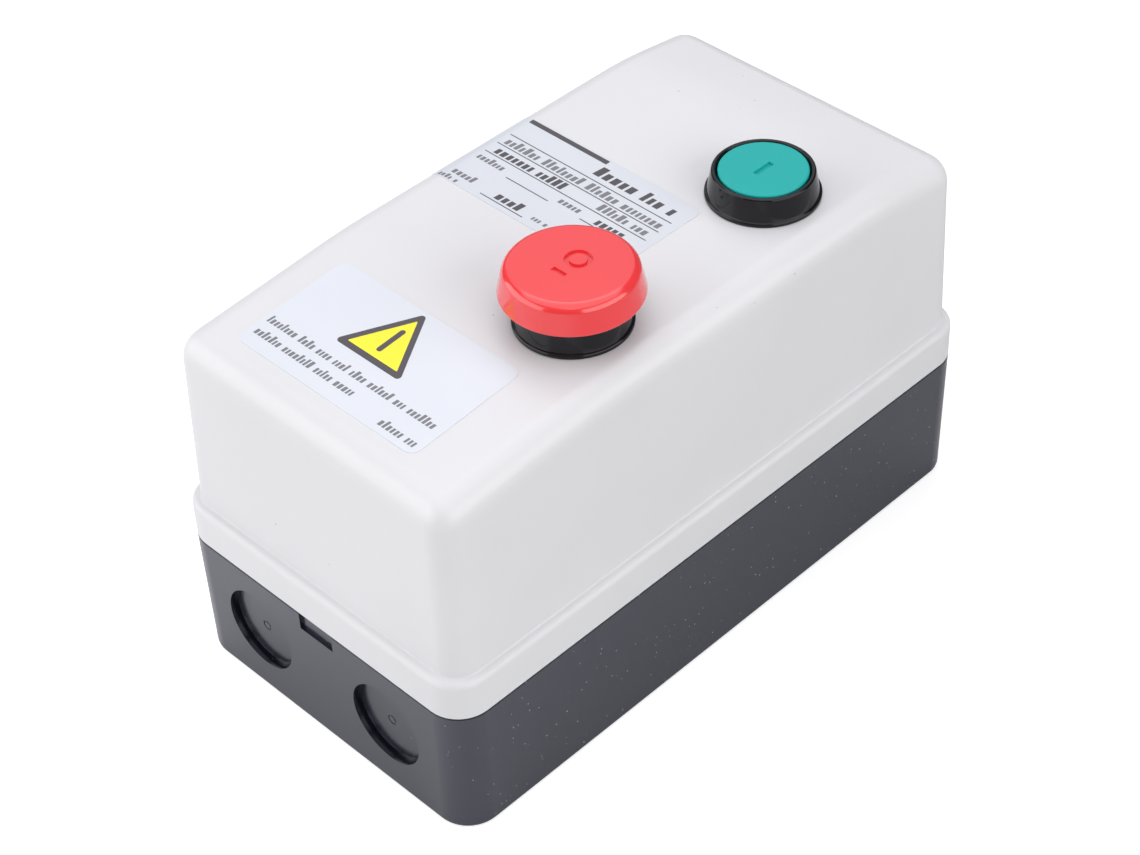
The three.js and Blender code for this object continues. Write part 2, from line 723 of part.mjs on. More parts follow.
// ---- control wires, clipped along the contactor's side ----
const WIRE_R = 1.1;
function wire(points) {
  const route = new THREE.CatmullRomCurve3(points.map((p) => new THREE.Vector3(...p)));
  return drawn(route, WIRE_R, 20, 6);
}
const SIDE = MODULE_X + MODULE_HALF + 2 * GAP;
const RUN = SIDE + 4; // the wires stand this far out between their ends
add(
  "start_wire",
  wire([
    [BUTTON_X + 6.6 + GAP, 42, 77],
    [SIDE + 1, 42, 77],
    [RUN, 44, 72],
    [RUN, 50, 57],
    [RUN, 55.5, 36],
    [SIDE + 2, 57, 27.5],
    [SIDE, 57, 27],
  ]),
  wireBlue,
);
add(
  "stop_wire",
  wire([
    [SIDE, -36, 60],
    [SIDE + 2, -35.6, 59.6],
    [RUN, -26, 53],
    [RUN, -4, 39],
    [RUN, 9, 29],
    [SIDE + 2, 14.6, 25.4],
    [SIDE, 15, 25],
  ]),
  wireBlue,
);

export default group;
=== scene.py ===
"""The look of an enclosed motor starter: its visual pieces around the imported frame, in metres."""

import functools
import json
import math
import random

import bmesh
import bpy
from bpy.props import FloatProperty, FloatVectorProperty, IntProperty, PointerProperty
from mathutils import Matrix, Vector

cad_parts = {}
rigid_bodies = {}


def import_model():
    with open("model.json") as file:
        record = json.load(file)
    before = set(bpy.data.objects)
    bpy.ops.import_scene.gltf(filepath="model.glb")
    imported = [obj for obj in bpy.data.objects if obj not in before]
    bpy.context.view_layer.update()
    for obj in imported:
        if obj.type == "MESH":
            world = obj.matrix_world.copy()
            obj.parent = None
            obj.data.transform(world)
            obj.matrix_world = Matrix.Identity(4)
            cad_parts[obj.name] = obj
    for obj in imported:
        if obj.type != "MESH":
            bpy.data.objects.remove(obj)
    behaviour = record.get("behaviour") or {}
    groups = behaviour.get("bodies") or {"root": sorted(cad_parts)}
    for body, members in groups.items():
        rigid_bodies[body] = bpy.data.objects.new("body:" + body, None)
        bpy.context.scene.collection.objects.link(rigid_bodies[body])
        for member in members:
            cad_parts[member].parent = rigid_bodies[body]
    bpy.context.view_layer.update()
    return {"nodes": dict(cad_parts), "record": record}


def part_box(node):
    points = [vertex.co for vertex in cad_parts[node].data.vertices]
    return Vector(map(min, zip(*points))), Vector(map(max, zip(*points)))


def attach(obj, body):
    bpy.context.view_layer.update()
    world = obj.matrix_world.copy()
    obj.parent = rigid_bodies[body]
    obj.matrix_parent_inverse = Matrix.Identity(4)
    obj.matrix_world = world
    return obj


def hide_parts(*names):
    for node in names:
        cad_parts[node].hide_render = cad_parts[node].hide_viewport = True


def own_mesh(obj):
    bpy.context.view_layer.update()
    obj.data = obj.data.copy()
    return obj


bl_info = {
    "name": "Enclosed Motor Starter",
    "version": (1, 0, 0),
    "blender": (4, 5, 0),
    "location": "3D View > Sidebar > Motor Starter",
    "description": "Builds the visual pieces of an enclosed motor starter around its frame",
    "category": "Object",
}

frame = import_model()
MM = 0.001


def middle(node):
    """The middle of a frame node's box."""
    low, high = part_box(node)
    return (low + high) / 2


RIM_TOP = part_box("base_housing")[1].z
COVER_LOW, COVER_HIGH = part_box("front_cover")
HALF_WIDTH = COVER_HIGH.x
HALF_LENGTH = COVER_HIGH.y
FRONT = COVER_HIGH.z
BUTTON_X = middle("on_collar").x
ON_Y = middle("on_collar").y
OFF_Y = middle("off_collar").y


# ---- settings ----


def length_setting(name, description, default):
    return FloatProperty(name=name, description=description, default=default, unit="LENGTH")


class StarterEnclosure(bpy.types.PropertyGroup):
    """Sizes of the base housing and the front cover"""

    parting: length_setting("Parting height", "Back face to the seam", 0.0358)
    corner: length_setting("Corner radius", "Plan radius at the seam", 0.0085)
    shoulder: length_setting("Shoulder height", "Top of the cover's wider band", 0.0465)
    step: length_setting("Shoulder step", "How far the cover stands in from the band", 0.0022)
    edge: length_setting("Cover edge radius", "Round of the cover's edges", 0.0063)
    near_edge: length_setting("Cable end height", "Front face at the cable end", 0.0931)
    far_edge: length_setting("Far end height", "Front face at the far end", 0.0936)
    near_bend: length_setting("Cable end bend", "Where the front starts to fall", -0.0329)
    far_bend: length_setting("Far end bend", "Where the front starts to fall", 0.0574)
    draft: FloatProperty(
        name="Cover draft", description="Inward lean of the cover's walls, per metre", default=0.0225
    )
    base_draft: FloatProperty(
        name="Base draft", description="Inward lean of the base towards the back", default=0.0084
    )
    wall: length_setting("Wall", "Thickness of the cover's wall", 0.0024)
    base_wall: length_setting("Base wall", "Thickness of the base's wall", 0.0035)
    knockout: length_setting("Knockout radius", "Radius of a cable knockout", 0.0106)


class StarterButtons(bpy.types.PropertyGroup):
    """Sizes of the push buttons"""

    collar: length_setting("Collar radius", "Radius of a collar's foot", 0.0133)
    cap: length_setting("Mushroom radius", "Widest radius of the OFF cap", 0.016)
    disc: length_setting("Disc radius", "Radius of the ON button", 0.0103)
    facets: IntProperty(
        name="Facets", description="Facets round a turned piece", default=96, min=12
    )


def colour_setting(name, value):
    return FloatVectorProperty(
        name=name, description=f"Colour of the {name.lower()}", default=value, subtype="COLOR", size=3
    )


class StarterColours(bpy.types.PropertyGroup):
    """Colours of the visible finishes"""

    cover: colour_setting("Cover", (0.722, 0.723, 0.738))
    base: colour_setting("Base", (0.0088, 0.0088, 0.0155))
    label: colour_setting("Label film", (0.715, 0.745, 0.80))
    ink: colour_setting("Label ink", (0.07, 0.065, 0.075))
    fine: colour_setting("Fine print", (0.19, 0.19, 0.21))
    yellow: colour_setting("Yellow ink", (1.0, 0.84, 0.03))
    red: colour_setting("OFF button", (0.84, 0.042, 0.048))
    green: colour_setting("ON button", (0.01, 0.40, 0.375))
    black: colour_setting("Collars", (0.005, 0.005, 0.007))


class StarterStage(bpy.types.PropertyGroup):
    """Camera, floor and lights"""

    azimuth: FloatProperty(
        name="Azimuth", description="Camera's turn about the object", default=math.radians(46.26),
        subtype="ANGLE",
    )
    elevation: FloatProperty(
        name="Elevation", description="Camera's height angle", default=math.radians(41.71),
        subtype="ANGLE",
    )
    roll: FloatProperty(
        name="Roll", description="Camera's roll", default=math.radians(-2.51), subtype="ANGLE"
    )
    distance: length_setting("Distance", "Camera to its target", 0.6167)
    target: FloatVectorProperty(
        name="Target", description="The point that the camera faces", default=(-0.00425, -0.0005, 0.0361),
        subtype="TRANSLATION",
    )
    lens: FloatProperty(
        name="Lens", description="Focal length for a 36 mm wide sensor", default=81.9
    )
    world: FloatProperty(
        name="Ambient light", description="Strength of the white surroundings", default=0.1
    )
    floor: colour_setting("Floor", (0.93, 0.93, 0.935))
    # Painted shade: the floor darkens to this colour towards +X +Y, in place of the object's shadow on that
    # side
    painted_shade_floor: colour_setting("Painted-shade far floor", (0.54, 0.54, 0.545))
    glow: FloatProperty(
        name="Floor glow", description="Extra brightness of the floor in the picture", default=0.62
    )


# ---- shader node groups ----


def node_group(name, inputs, outputs):
    """An empty shader group with named float inputs and outputs, and its two end nodes."""
    tree = bpy.data.node_groups.new(name, "ShaderNodeTree")
    for label, value in inputs:
        socket = tree.interface.new_socket(label, in_out="INPUT", socket_type="NodeSocketFloat")
        socket.default_value = value
    for label in outputs:
        tree.interface.new_socket(label, in_out="OUTPUT", socket_type="NodeSocketFloat")
    return tree, tree.nodes.new("NodeGroupInput"), tree.nodes.new("NodeGroupOutput")


def math_node(tree, operation, *values):
    """A Math node whose inputs are sockets or plain numbers; returns its output socket."""
    node = tree.nodes.new("ShaderNodeMath")
    node.operation = operation
    for socket, value in zip(node.inputs, values):
        if isinstance(value, bpy.types.NodeSocket):
            tree.links.new(value, socket)
        else:
            socket.default_value = value
    return node.outputs[0]


def object_place(tree):
    return tree.nodes.new("ShaderNodeTexCoord").outputs["Object"]


def noise_at(tree, place, scale, detail=2.0):
    """A Noise node read at a place; its scale is a socket or a number. Returns its value socket."""
    node = tree.nodes.new("ShaderNodeTexNoise")
    node.inputs["Detail"].default_value = detail
    tree.links.new(place, node.inputs["Vector"])
    if isinstance(scale, bpy.types.NodeSocket):
        tree.links.new(scale, node.inputs["Scale"])
    else:
        node.inputs["Scale"].default_value = scale
    return node.outputs["Fac"]


def grain_group():
    """Fine moulded texture and the slow mottle that goes with it."""
    inputs = [("Grain Scale", 2600.0), ("Mottle Scale", 28.0)]
    tree, given, out = node_group("Moulded Grain", inputs, ["Height", "Mottle"])
    place = object_place(tree)
    height = noise_at(tree, place, given.outputs["Grain Scale"], 3.0)
    tree.links.new(height, out.inputs["Height"])
    tree.links.new(noise_at(tree, place, given.outputs["Mottle Scale"]), out.inputs["Mottle"])
    return tree


def dust_group():
    """Scattered specks: a few cells of a Voronoi pattern hold one small round dot each."""
    inputs = [("Scale", 240.0), ("Share", 0.2), ("Radius", 0.05)]
    tree, given, out = node_group("Dust Specks", inputs, ["Mask"])
    cells = tree.nodes.new("ShaderNodeTexVoronoi")
    tree.links.new(object_place(tree), cells.inputs["Vector"])
    tree.links.new(given.outputs["Scale"], cells.inputs["Scale"])
    chance = tree.nodes.new("ShaderNodeSeparateColor")
    tree.links.new(cells.outputs["Color"], chance.inputs["Color"])
    radius = math_node(tree, "MULTIPLY", given.outputs["Radius"], chance.outputs["Green"])
    near = math_node(tree, "LESS_THAN", cells.outputs["Distance"], radius)
    chosen = math_node(tree, "LESS_THAN", chance.outputs["Red"], given.outputs["Share"])
    tree.links.new(math_node(tree, "MULTIPLY", near, chosen), out.inputs["Mask"])
    return tree


def wear_group():
    """A mask of convex and concave edges, broken up by noise."""
    tree, given, out = node_group("Edge Wear", [("Radius", 0.0006), ("Breakup Scale", 400.0)], ["Mask"])
    bevel = tree.nodes.new("ShaderNodeBevel")
    bevel.samples = 4
    tree.links.new(given.outputs["Radius"], bevel.inputs["Radius"])
    surface = tree.nodes.new("ShaderNodeNewGeometry")
    dot = tree.nodes.new("ShaderNodeVectorMath")
    dot.operation = "DOT_PRODUCT"
    tree.links.new(bevel.outputs["Normal"], dot.inputs[0])
    tree.links.new(surface.outputs["Normal"], dot.inputs[1])
    turned_away = math_node(tree, "SUBTRACT", 1.0, dot.outputs["Value"])
    noise = noise_at(tree, object_place(tree), given.outputs["Breakup Scale"])
    strength = math_node(tree, "MULTIPLY", turned_away, noise)
    scaled = math_node(tree, "MULTIPLY", strength, 12.0)
    tree.links.new(math_node(tree, "MINIMUM", scaled, 1.0), out.inputs["Mask"])
    return tree


GROUPS = {"Moulded Grain": grain_group, "Dust Specks": dust_group, "Edge Wear": wear_group}


def shared_group(material, name, **values):
    """Places a shared group in a material, made the first time it is asked for."""
    tree = bpy.data.node_groups.get(name) or GROUPS[name]()
    node = material.node_tree.nodes.new("ShaderNodeGroup")
    node.node_tree = tree
    for label, value in values.items():
        node.inputs[label.replace("_", " ")].default_value = value
    return node.outputs


def blend_colour(tree, share, first, second):
    """A Mix node of two colours, each a socket or a triple; returns its colour socket."""
    node = tree.nodes.new("ShaderNodeMix")
    node.data_type = "RGBA"
    tree.links.new(share, node.inputs["Factor"])
    colour_inputs = [s for s in node.inputs if s.type == "RGBA"]
    for socket, value in zip(colour_inputs, (first, second)):
        if isinstance(value, bpy.types.NodeSocket):
            tree.links.new(value, socket)
        else:
            socket.default_value = (*value, 1.0)
    return [s for s in node.outputs if s.type == "RGBA"][0]


def shaded(colour, factor):
    return tuple(min(1.0, channel * factor) for channel in colour)


def fresh_material(name):
    material = bpy.data.materials.new(name)
    material.use_nodes = True
    return material, material.node_tree, material.node_tree.nodes["Principled BSDF"]


def bump(tree, shader, height, strength, distance):
    node = tree.nodes.new("ShaderNodeBump")
    node.inputs["Strength"].default_value = strength
    node.inputs["Distance"].default_value = distance
    tree.links.new(height, node.inputs["Height"])
    tree.links.new(node.outputs["Normal"], shader.inputs["Normal"])


def vary_roughness(tree, shader, mottle, roughness, spread):
    low = roughness - spread / 2
    swing = math_node(tree, "MULTIPLY_ADD", mottle, spread, low)
    tree.links.new(swing, shader.inputs["Roughness"])


# ---- finishes ----


def made_once(recipe):
    """Lets a material's recipe hand back the material of that name, where there is one."""

    @functools.wraps(recipe)
    def recall(name, *values, **named):
        return bpy.data.materials.get(name) or recipe(name, *values, **named)

    return recall


@made_once
def plastic(
    name, colour, roughness, *, grain=0.12, specks=None, wear=0.3, coat=0.0, scale=2600.0, shine=0.5,
    sheen=(1, 1, 1),
):
    """Moulded plastic: mottled colour, fine grain, rubbed edges and, where named, specks."""
    material, tree, shader = fresh_material(name)
    moulded = shared_group(material, "Moulded Grain", Grain_Scale=scale)
    tint = blend_colour(tree, moulded["Mottle"], shaded(colour, 0.96), shaded(colour, 1.04))
    edges = shared_group(material, "Edge Wear")
    rubbed = math_node(tree, "MULTIPLY", edges["Mask"], wear)
    tint = blend_colour(tree, rubbed, tint, shaded(colour, 1.6))
    if specks:
        speck_colour, share, radius, cells = specks
        dust = shared_group(material, "Dust Specks", Scale=cells, Share=share, Radius=radius)
        tint = blend_colour(tree, dust["Mask"], tint, speck_colour)
    tree.links.new(tint, shader.inputs["Base Color"])
    vary_roughness(tree, shader, moulded["Mottle"], roughness, 0.06)
    bump(tree, shader, moulded["Height"], grain, 0.00004)
    shader.inputs["Specular IOR Level"].default_value = shine
    shader.inputs["Specular Tint"].default_value = (*sheen, 1)
    shader.inputs["Coat Weight"].default_value = coat
    shader.inputs["Coat Roughness"].default_value = 0.08
    return material


@made_once
def metal(name, colour, roughness, *, streak=(60.0, 60.0, 900.0), wear=0.4):
    """Metal with fine drawn streaks and brighter edges."""
    material, tree, shader = fresh_material(name)
    mapping = tree.nodes.new("ShaderNodeMapping")
    mapping.inputs["Scale"].default_value = streak
    tree.links.new(object_place(tree), mapping.inputs["Vector"])
    noise = noise_at(tree, mapping.outputs["Vector"], 8.0, 4.0)
    tint = blend_colour(tree, noise, shaded(colour, 0.82), shaded(colour, 1.12))
    edges = shared_group(material, "Edge Wear", Radius=0.0003)
    rubbed = math_node(tree, "MULTIPLY", edges["Mask"], wear)
    tint = blend_colour(tree, rubbed, tint, shaded(colour, 1.35))
    tree.links.new(tint, shader.inputs["Base Color"])
    shader.inputs["Metallic"].default_value = 1.0
    vary_roughness(tree, shader, noise, roughness, 0.16)
    bump(tree, shader, noise, 0.12, 0.00003)
    return material


@made_once
def layered_metal(name, colour, roughness, pitch, axis):
    """Metal in thin layers along one axis: stacked laminations, or turns of wire."""
    material, tree, shader = fresh_material(name)
    split = tree.nodes.new("ShaderNodeSeparateXYZ")
    tree.links.new(object_place(tree), split.inputs["Vector"])
    layers = math_node(tree, "MULTIPLY", split.outputs[axis], 2 * math.pi / pitch)
    wave = math_node(tree, "SINE", layers)
    height = math_node(tree, "MULTIPLY_ADD", wave, 0.5, 0.5)
    noise = noise_at(tree, object_place(tree), 300.0)
    tint = blend_colour(tree, height, shaded(colour, 0.45), shaded(colour, 1.1))
    tint = blend_colour(tree, noise, shaded(colour, 0.8), tint)
    tree.links.new(tint, shader.inputs["Base Color"])
    shader.inputs["Metallic"].default_value = 1.0
    vary_roughness(tree, shader, noise, roughness, 0.2)
    bump(tree, shader, height, 0.5, 0.0001)
    return material


@made_once
def printed(name, colour, roughness=0.32):
    """Printed film or ink: smooth, with a faint mottle."""
    material, tree, shader = fresh_material(name)
    moulded = shared_group(material, "Moulded Grain", Grain_Scale=700.0, Mottle_Scale=60.0)
    tint = blend_colour(tree, moulded["Mottle"], shaded(colour, 0.975), shaded(colour, 1.02))
    tree.links.new(tint, shader.inputs["Base Color"])
    vary_roughness(tree, shader, moulded["Mottle"], roughness, 0.05)
    bump(tree, shader, moulded["Height"], 0.04, 0.00003)
    return material


def finish(slot):
    """The material of one of the record's slots."""
    colours = bpy.context.scene.starter_colours
    pale_dust = ((0.26, 0.26, 0.27), 0.9, 0.135, 620.0)
    dark_fleck = ((0.3, 0.26, 0.2), 0.08, 0.07, 400.0)
    recipes = {
        "cover_white": lambda: plastic(
            "Cover plastic", colours.cover, 0.36, grain=0.06, specks=dark_fleck, wear=0.05, coat=0.12
        ),
        "base_charcoal": lambda: plastic(
            "Base plastic", colours.base, 0.26, grain=0.1, specks=pale_dust, wear=0.25, coat=0.3, shine=1.0,
            sheen=(0.78, 0.83, 1.0),
        ),
        "label_film": lambda: printed("Label film", colours.label),
        "collar_black": lambda: plastic(
            "Collar plastic", colours.black, 0.08, grain=0.02, wear=0.5, shine=0.38
        ),
        "button_green": lambda: plastic(
            "ON button plastic", colours.green, 0.4, grain=0.05, wear=0.12, scale=1500.0, shine=0.3
        ),
        "button_red": lambda: plastic(
            "OFF button plastic", colours.red, 0.16, grain=0.05, wear=0.1, scale=900.0, coat=0.65
        ),
        "phenolic_black": lambda: plastic("Thermoset", (0.02, 0.02, 0.023), 0.42, grain=0.3, wear=0.5),
        "bobbin_cream": lambda: plastic("Cream nylon", (0.66, 0.58, 0.42), 0.45, grain=0.15),
        "carrier_red": lambda: plastic("Red nylon", (0.5, 0.035, 0.03), 0.4, grain=0.12),
        "dial_yellow": lambda: plastic("Yellow nylon", (0.82, 0.56, 0.03), 0.38, grain=0.1),
        "wire_blue": lambda: plastic("Blue insulation", (0.02, 0.07, 0.34), 0.3, grain=0.05, wear=0.0),
        "screw_green": lambda: metal("Green passivated steel", (0.06, 0.36, 0.13), 0.35),
        "steel_plated": lambda: metal("Plated steel", (0.66, 0.65, 0.62), 0.28),
        "spring_steel": lambda: metal("Spring steel", (0.52, 0.52, 0.53), 0.25),
        "brass_contact": lambda: metal("Brass strip", (0.78, 0.56, 0.26), 0.3),
        "lamination_steel": lambda: layered_metal("Laminations", (0.3, 0.3, 0.32), 0.4, 0.5 * MM, "X"),
        "coil_copper": lambda: layered_metal("Copper", (0.72, 0.3, 0.13), 0.3, 0.35 * MM, "Z"),
    }
    return recipes[slot]()


# ---- modelling helpers ----


def with_arcs(corners, steps=6, closed=True):
    """Points along an outline of (u, v, radius) corners, with each radius as a true arc."""
    points = []
    last = len(corners) - 1
    for i, (u, v, radius) in enumerate(corners):
        here = Vector((u, v))
        if not radius or (not closed and i in (0, last)):
            points.append(here)
            continue
        before = (Vector(corners[i - 1][:2]) - here).normalized()
        after = (Vector(corners[(i + 1) % len(corners)][:2]) - here).normalized()
        half = before.angle(after) / 2
        centre = here + (before + after).normalized() * (radius / math.sin(half))
        reach = radius / math.tan(half)
        start, end = here + before * reach - centre, here + after * reach - centre
        turn = start.angle(end)
        for k in range(steps + 1):
            t = k / steps
            arm = start * math.sin((1 - t) * turn) + end * math.sin(t * turn)
            points.append(centre + arm / math.sin(turn))
    return points


def bevelled(bm, edges, radius, segments):
    """Rounds edges off to a true radius."""
    return bmesh.ops.bevel(
        bm, geom=edges, offset=radius, offset_type="OFFSET", segments=segments, profile=0.5,
        affect="EDGES", material=-1, clamp_overlap=False,
    )


def block(low, high, radius=0.0, segments=2):
    """A box between two corners, in metres, with its edges rounded."""
    bm = bmesh.new()
    bmesh.ops.create_cube(bm, size=1.0)
    low, high = Vector(low), Vector(high)
    bmesh.ops.scale(bm, verts=bm.verts, vec=high - low)
    bmesh.ops.translate(bm, verts=bm.verts, vec=(low + high) / 2)
    if radius:
        bevelled(bm, bm.edges[:], radius, segments)
    return bm


def turned(profile, x, y, steps=None, closed=True):
    """A solid of revolution from (radius, height) points in metres, about an upright axis."""
    steps = steps or bpy.context.scene.starter_buttons.facets
    bm = bmesh.new()
    verts = [bm.verts.new((r, 0.0, z)) for r, z in profile]
    edges = [bm.edges.new(pair) for pair in zip(verts, verts[1:])]
    if closed:
        edges.append(bm.edges.new((verts[-1], verts[0])))
    bmesh.ops.spin(
        bm, geom=verts + edges, cent=(0, 0, 0), axis=(0, 0, 1), dvec=(0, 0, 0),
        angle=2 * math.pi, steps=steps, use_merge=True, use_duplicate=False,
    )
    bmesh.ops.remove_doubles(bm, verts=bm.verts, dist=0.001 * MM)
    bmesh.ops.recalc_face_normals(bm, faces=bm.faces)
    bmesh.ops.translate(bm, verts=bm.verts, vec=(x, y, 0.0))
    return bm


def rod(centre, radius, length, axis="Z", steps=48):
    """A plain cylinder about its centre, along a named axis."""
    bm = bmesh.new()
    bmesh.ops.create_cone(
        bm, cap_ends=True, cap_tris=False, segments=steps, radius1=radius, radius2=radius, depth=length
    )
    turns = {"X": Matrix.Rotation(math.pi / 2, 3, "Y"), "Y": Matrix.Rotation(math.pi / 2, 3, "X")}
    if axis in turns:
        bmesh.ops.rotate(bm, verts=bm.verts, cent=(0, 0, 0), matrix=turns[axis])
    bmesh.ops.translate(bm, verts=bm.verts, vec=centre)
    return bm


def brick(x, y, z, radius=0.0, segments=2):
    """A box between ranges given in millimetres."""
    low, high = zip(x, y, z)
    return block(Vector(low) * MM, Vector(high) * MM, radius * MM, segments)


def peg(x, y, radius, z, steps=32):
    """An upright cylinder, in millimetres."""
    return rod((x * MM, y * MM, sum(z) / 2 * MM), radius * MM, (z[1] - z[0]) * MM, steps=steps)


def swung(bm, degrees, x, y):
    """Turns a bmesh about the upright axis through the origin, then moves it to (x, y), in metres."""
    turn = Matrix.Rotation(math.radians(degrees), 3, "Z")
    bmesh.ops.rotate(bm, verts=bm.verts, cent=(0, 0, 0), matrix=turn)
    bmesh.ops.translate(bm, verts=bm.verts, vec=(x, y, 0))
    return bm


def wire_along(points, radius, steps=10):
    """Round wire along a line of points, with flat ends."""
    bm = bmesh.new()
    rings, across = [], None
    for i, point in enumerate(points):
        ahead = (points[min(i + 1, len(points) - 1)] - points[max(i - 1, 0)]).normalized()
        across = across or ahead.orthogonal()
        across = (across - ahead * across.dot(ahead)).normalized()
        side = ahead.cross(across)
        angles = [2 * math.pi * k / steps for k in range(steps)]
        arms = [across * math.cos(a) + side * math.sin(a) for a in angles]
        rings.append([bm.verts.new(point + arm * radius) for arm in arms])
    for ring, following in zip(rings, rings[1:]):
        for k in range(steps):
            after = (k + 1) % steps
            bm.faces.new((ring[k], ring[after], following[after], following[k]))
    bm.faces.new(rings[0])
    bm.faces.new(rings[-1])
    bmesh.ops.recalc_face_normals(bm, faces=bm.faces)
    return bm


def curve_through(points, steps=8):
    """A smooth line through the given points."""
    padded = [2 * points[0] - points[1], *points, 2 * points[-1] - points[-2]]
    line = []
    for a, b, c, d in zip(padded, padded[1:], padded[2:], padded[3:]):
        for k in range(steps):
            t = k / steps
            pull = (c - a) * t + (2 * a - 5 * b + 4 * c - d) * t * t + (3 * b - a - 3 * c + d) * t**3
            line.append(b + pull / 2)
    return [*line, points[-1]]


def joined(parts):
    """One bmesh of several; the parts are freed."""
    mesh = bpy.data.meshes.new("joined")
    whole = bmesh.new()
    for part in parts:
        part.to_mesh(mesh)
        part.free()
        whole.from_mesh(mesh)
    bpy.data.meshes.remove(mesh)
    return whole


def loose_object(name, bm):
    mesh = bpy.data.meshes.new(name)
    bm.to_mesh(mesh)
    bm.free()
    made = bpy.data.objects.new(name, mesh)
    bpy.context.scene.collection.objects.link(made)
    return made


def bake_modifiers(piece):
    """Makes what a piece's modifiers show its own mesh."""
    graph = bpy.context.evaluated_depsgraph_get()
    mesh = bpy.data.meshes.new_from_object(piece.evaluated_get(graph))
    old = piece.data
    piece.modifiers.clear()
    piece.data = mesh
    bpy.data.meshes.remove(old)


def carve(piece, operation, tools):
    """Joins bmesh tools to a piece, or cuts them from it."""
    shelf = bpy.data.collections.new("tools")
    bpy.context.scene.collection.children.link(shelf)
    for number, bm in enumerate(tools):
        tool = loose_object(f"tool{number}", bm)
        bpy.context.scene.collection.objects.unlink(tool)
        shelf.objects.link(tool)
    modifier = piece.modifiers.new("carve", "BOOLEAN")
    modifier.operation = operation
    modifier.operand_type = "COLLECTION"
    modifier.collection = shelf
    modifier.solver = "EXACT"
    bake_modifiers(piece)
    for tool in list(shelf.objects):
        mesh = tool.data
        bpy.data.objects.remove(tool)
        bpy.data.meshes.remove(mesh)
    bpy.data.collections.remove(shelf)


def finished(piece, slot, body, *nodes, sharp=35.0, material=None):
    """Smooths a piece, gives it its finish, and lets it ride on a body in place of frame nodes."""
    mesh = piece.data
    mesh.materials.clear()
    mesh.materials.append(material or finish(slot))
    mesh.shade_smooth()
    mesh.set_sharp_from_angle(angle=math.radians(sharp))
    weighted = piece.modifiers.new("Weighted normals", "WEIGHTED_NORMAL")
    weighted.keep_sharp = True
    weighted.weight = 80
    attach(piece, body)
    if nodes:
        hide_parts(*nodes)
    return piece


def in_mm(*corners):
    """(u, v, radius) corners in millimetres, in metres."""
    return [tuple(MM * value for value in corner) for corner in corners]


def only(kind, geometry):
    return [item for item in geometry if isinstance(item, kind)]


def extend_rim(bm, rim, corner, steps):
    """Carries an open rounded-rectangle rim on through (outward, height) steps; returns the last rim.

    Each vertex moves straight out from the nearest corner's centre, so the corners stay round."""
    start = {v for edge in rim for v in edge.verts}
    half_x = max(v.co.x for v in start) - corner
    half_y = max(v.co.y for v in start) - corner
    done = 0.0
    for outward, height in steps:
        grown = bmesh.ops.extrude_edge_only(bm, edges=rim)["geom"]
        rim = only(bmesh.types.BMEdge, grown)
        for v in {v for edge in rim for v in edge.verts}:
            centre = Vector((math.copysign(half_x, v.co.x), math.copysign(half_y, v.co.y)))
            away = (v.co.xy - centre).normalized() * (outward - done)
            v.co = (v.co.x + away.x, v.co.y + away.y, height)
        done = outward
    return rim


def all_at(part, height):
    return all(abs(v.co.z - height) < 0.01 * MM for v in part.verts)


def open_rim(bm, height):
    """The boundary edges at one height."""
    return [edge for edge in bm.edges if edge.is_boundary and all_at(edge, height)]


def close_rim(bm, outer, inner):
    """Fills the strip between two rims that have equally many corners."""
    rings = []
    for rim in (outer, inner):
        verts = {v for edge in rim for v in edge.verts}
        rings.append(sorted(verts, key=lambda v: math.atan2(v.co.y, v.co.x)))
    for k in range(len(rings[0])):
        bm.faces.new((rings[0][k - 1], rings[0][k], rings[1][k], rings[1][k - 1]))
    bmesh.ops.recalc_face_normals(bm, faces=bm.faces)


# ---- base housing ----


KNOCKOUT_X = 0.0212
KNOCKOUT_Z = 0.0194
RECESS = 0.0021  # from the end face's foot to a knockout's disc
# The grooves in a knockout's disc: outer and inner radius, and reach in front of and behind its face
RINGS = ((0.0112, 0.0099, 0.0016, 0.0007), (0.0013, 0.00095, 0.0002, 0.00018))
TAB_SCREWS = ((-13.2, -8), (21.2, 66))


def base_skin(bm, inset, bottom, top, back_edge):
    """One skin of the base's tray, open at the top; returns its rim."""
    sizes = bpy.context.scene.starter_enclosure
    known = set(bm.edges)
    verts = bmesh.ops.create_cube(bm, size=2.0)["verts"]
    for v in verts:
        height = top if v.co.z > 0 else bottom
        lean = inset + sizes.base_draft * (sizes.parting - height)
        v.co.x = math.copysign(HALF_WIDTH - lean, v.co.x)
        v.co.y = math.copysign(HALF_LENGTH - lean, v.co.y)
        v.co.z = height
    edges = {edge for v in verts for edge in v.link_edges}
    upright = [edge for edge in edges if abs(edge.verts[0].co.z - edge.verts[1].co.z) > MM]
    faces = {f for v in verts for f in v.link_faces}
    bmesh.ops.delete(bm, geom=[f for f in faces if all_at(f, top)], context="FACES_ONLY")
    bevelled(bm, upright, sizes.corner - inset, 12)
    low_edges = [edge for edge in bm.edges if all_at(edge, bottom)]
    floor_edges = [edge for edge in low_edges if not all(all_at(f, bottom) for f in edge.link_faces)]
    bevelled(bm, floor_edges, back_edge, 4)
    return [edge for edge in open_rim(bm, top) if edge not in known]


def knockout_marks(x, end):
    """Grooves in a knockout's disc: a thin web round its rim and a small moulding mark."""
    marks = []
    for outer, inner, ahead, behind in RINGS:
        ring = turned([(inner, -behind), (outer, -behind), (outer, ahead), (inner, ahead)], 0, 0, steps=64)
        turn = Matrix.Rotation(-end * math.pi / 2, 3, "X")
        bmesh.ops.rotate(ring, verts=ring.verts, cent=(0, 0, 0), matrix=turn)
        place = (x, end * (HALF_LENGTH - RECESS), KNOCKOUT_Z)
        bmesh.ops.translate(ring, verts=ring.verts, vec=place)
        marks.append(ring)
    return marks


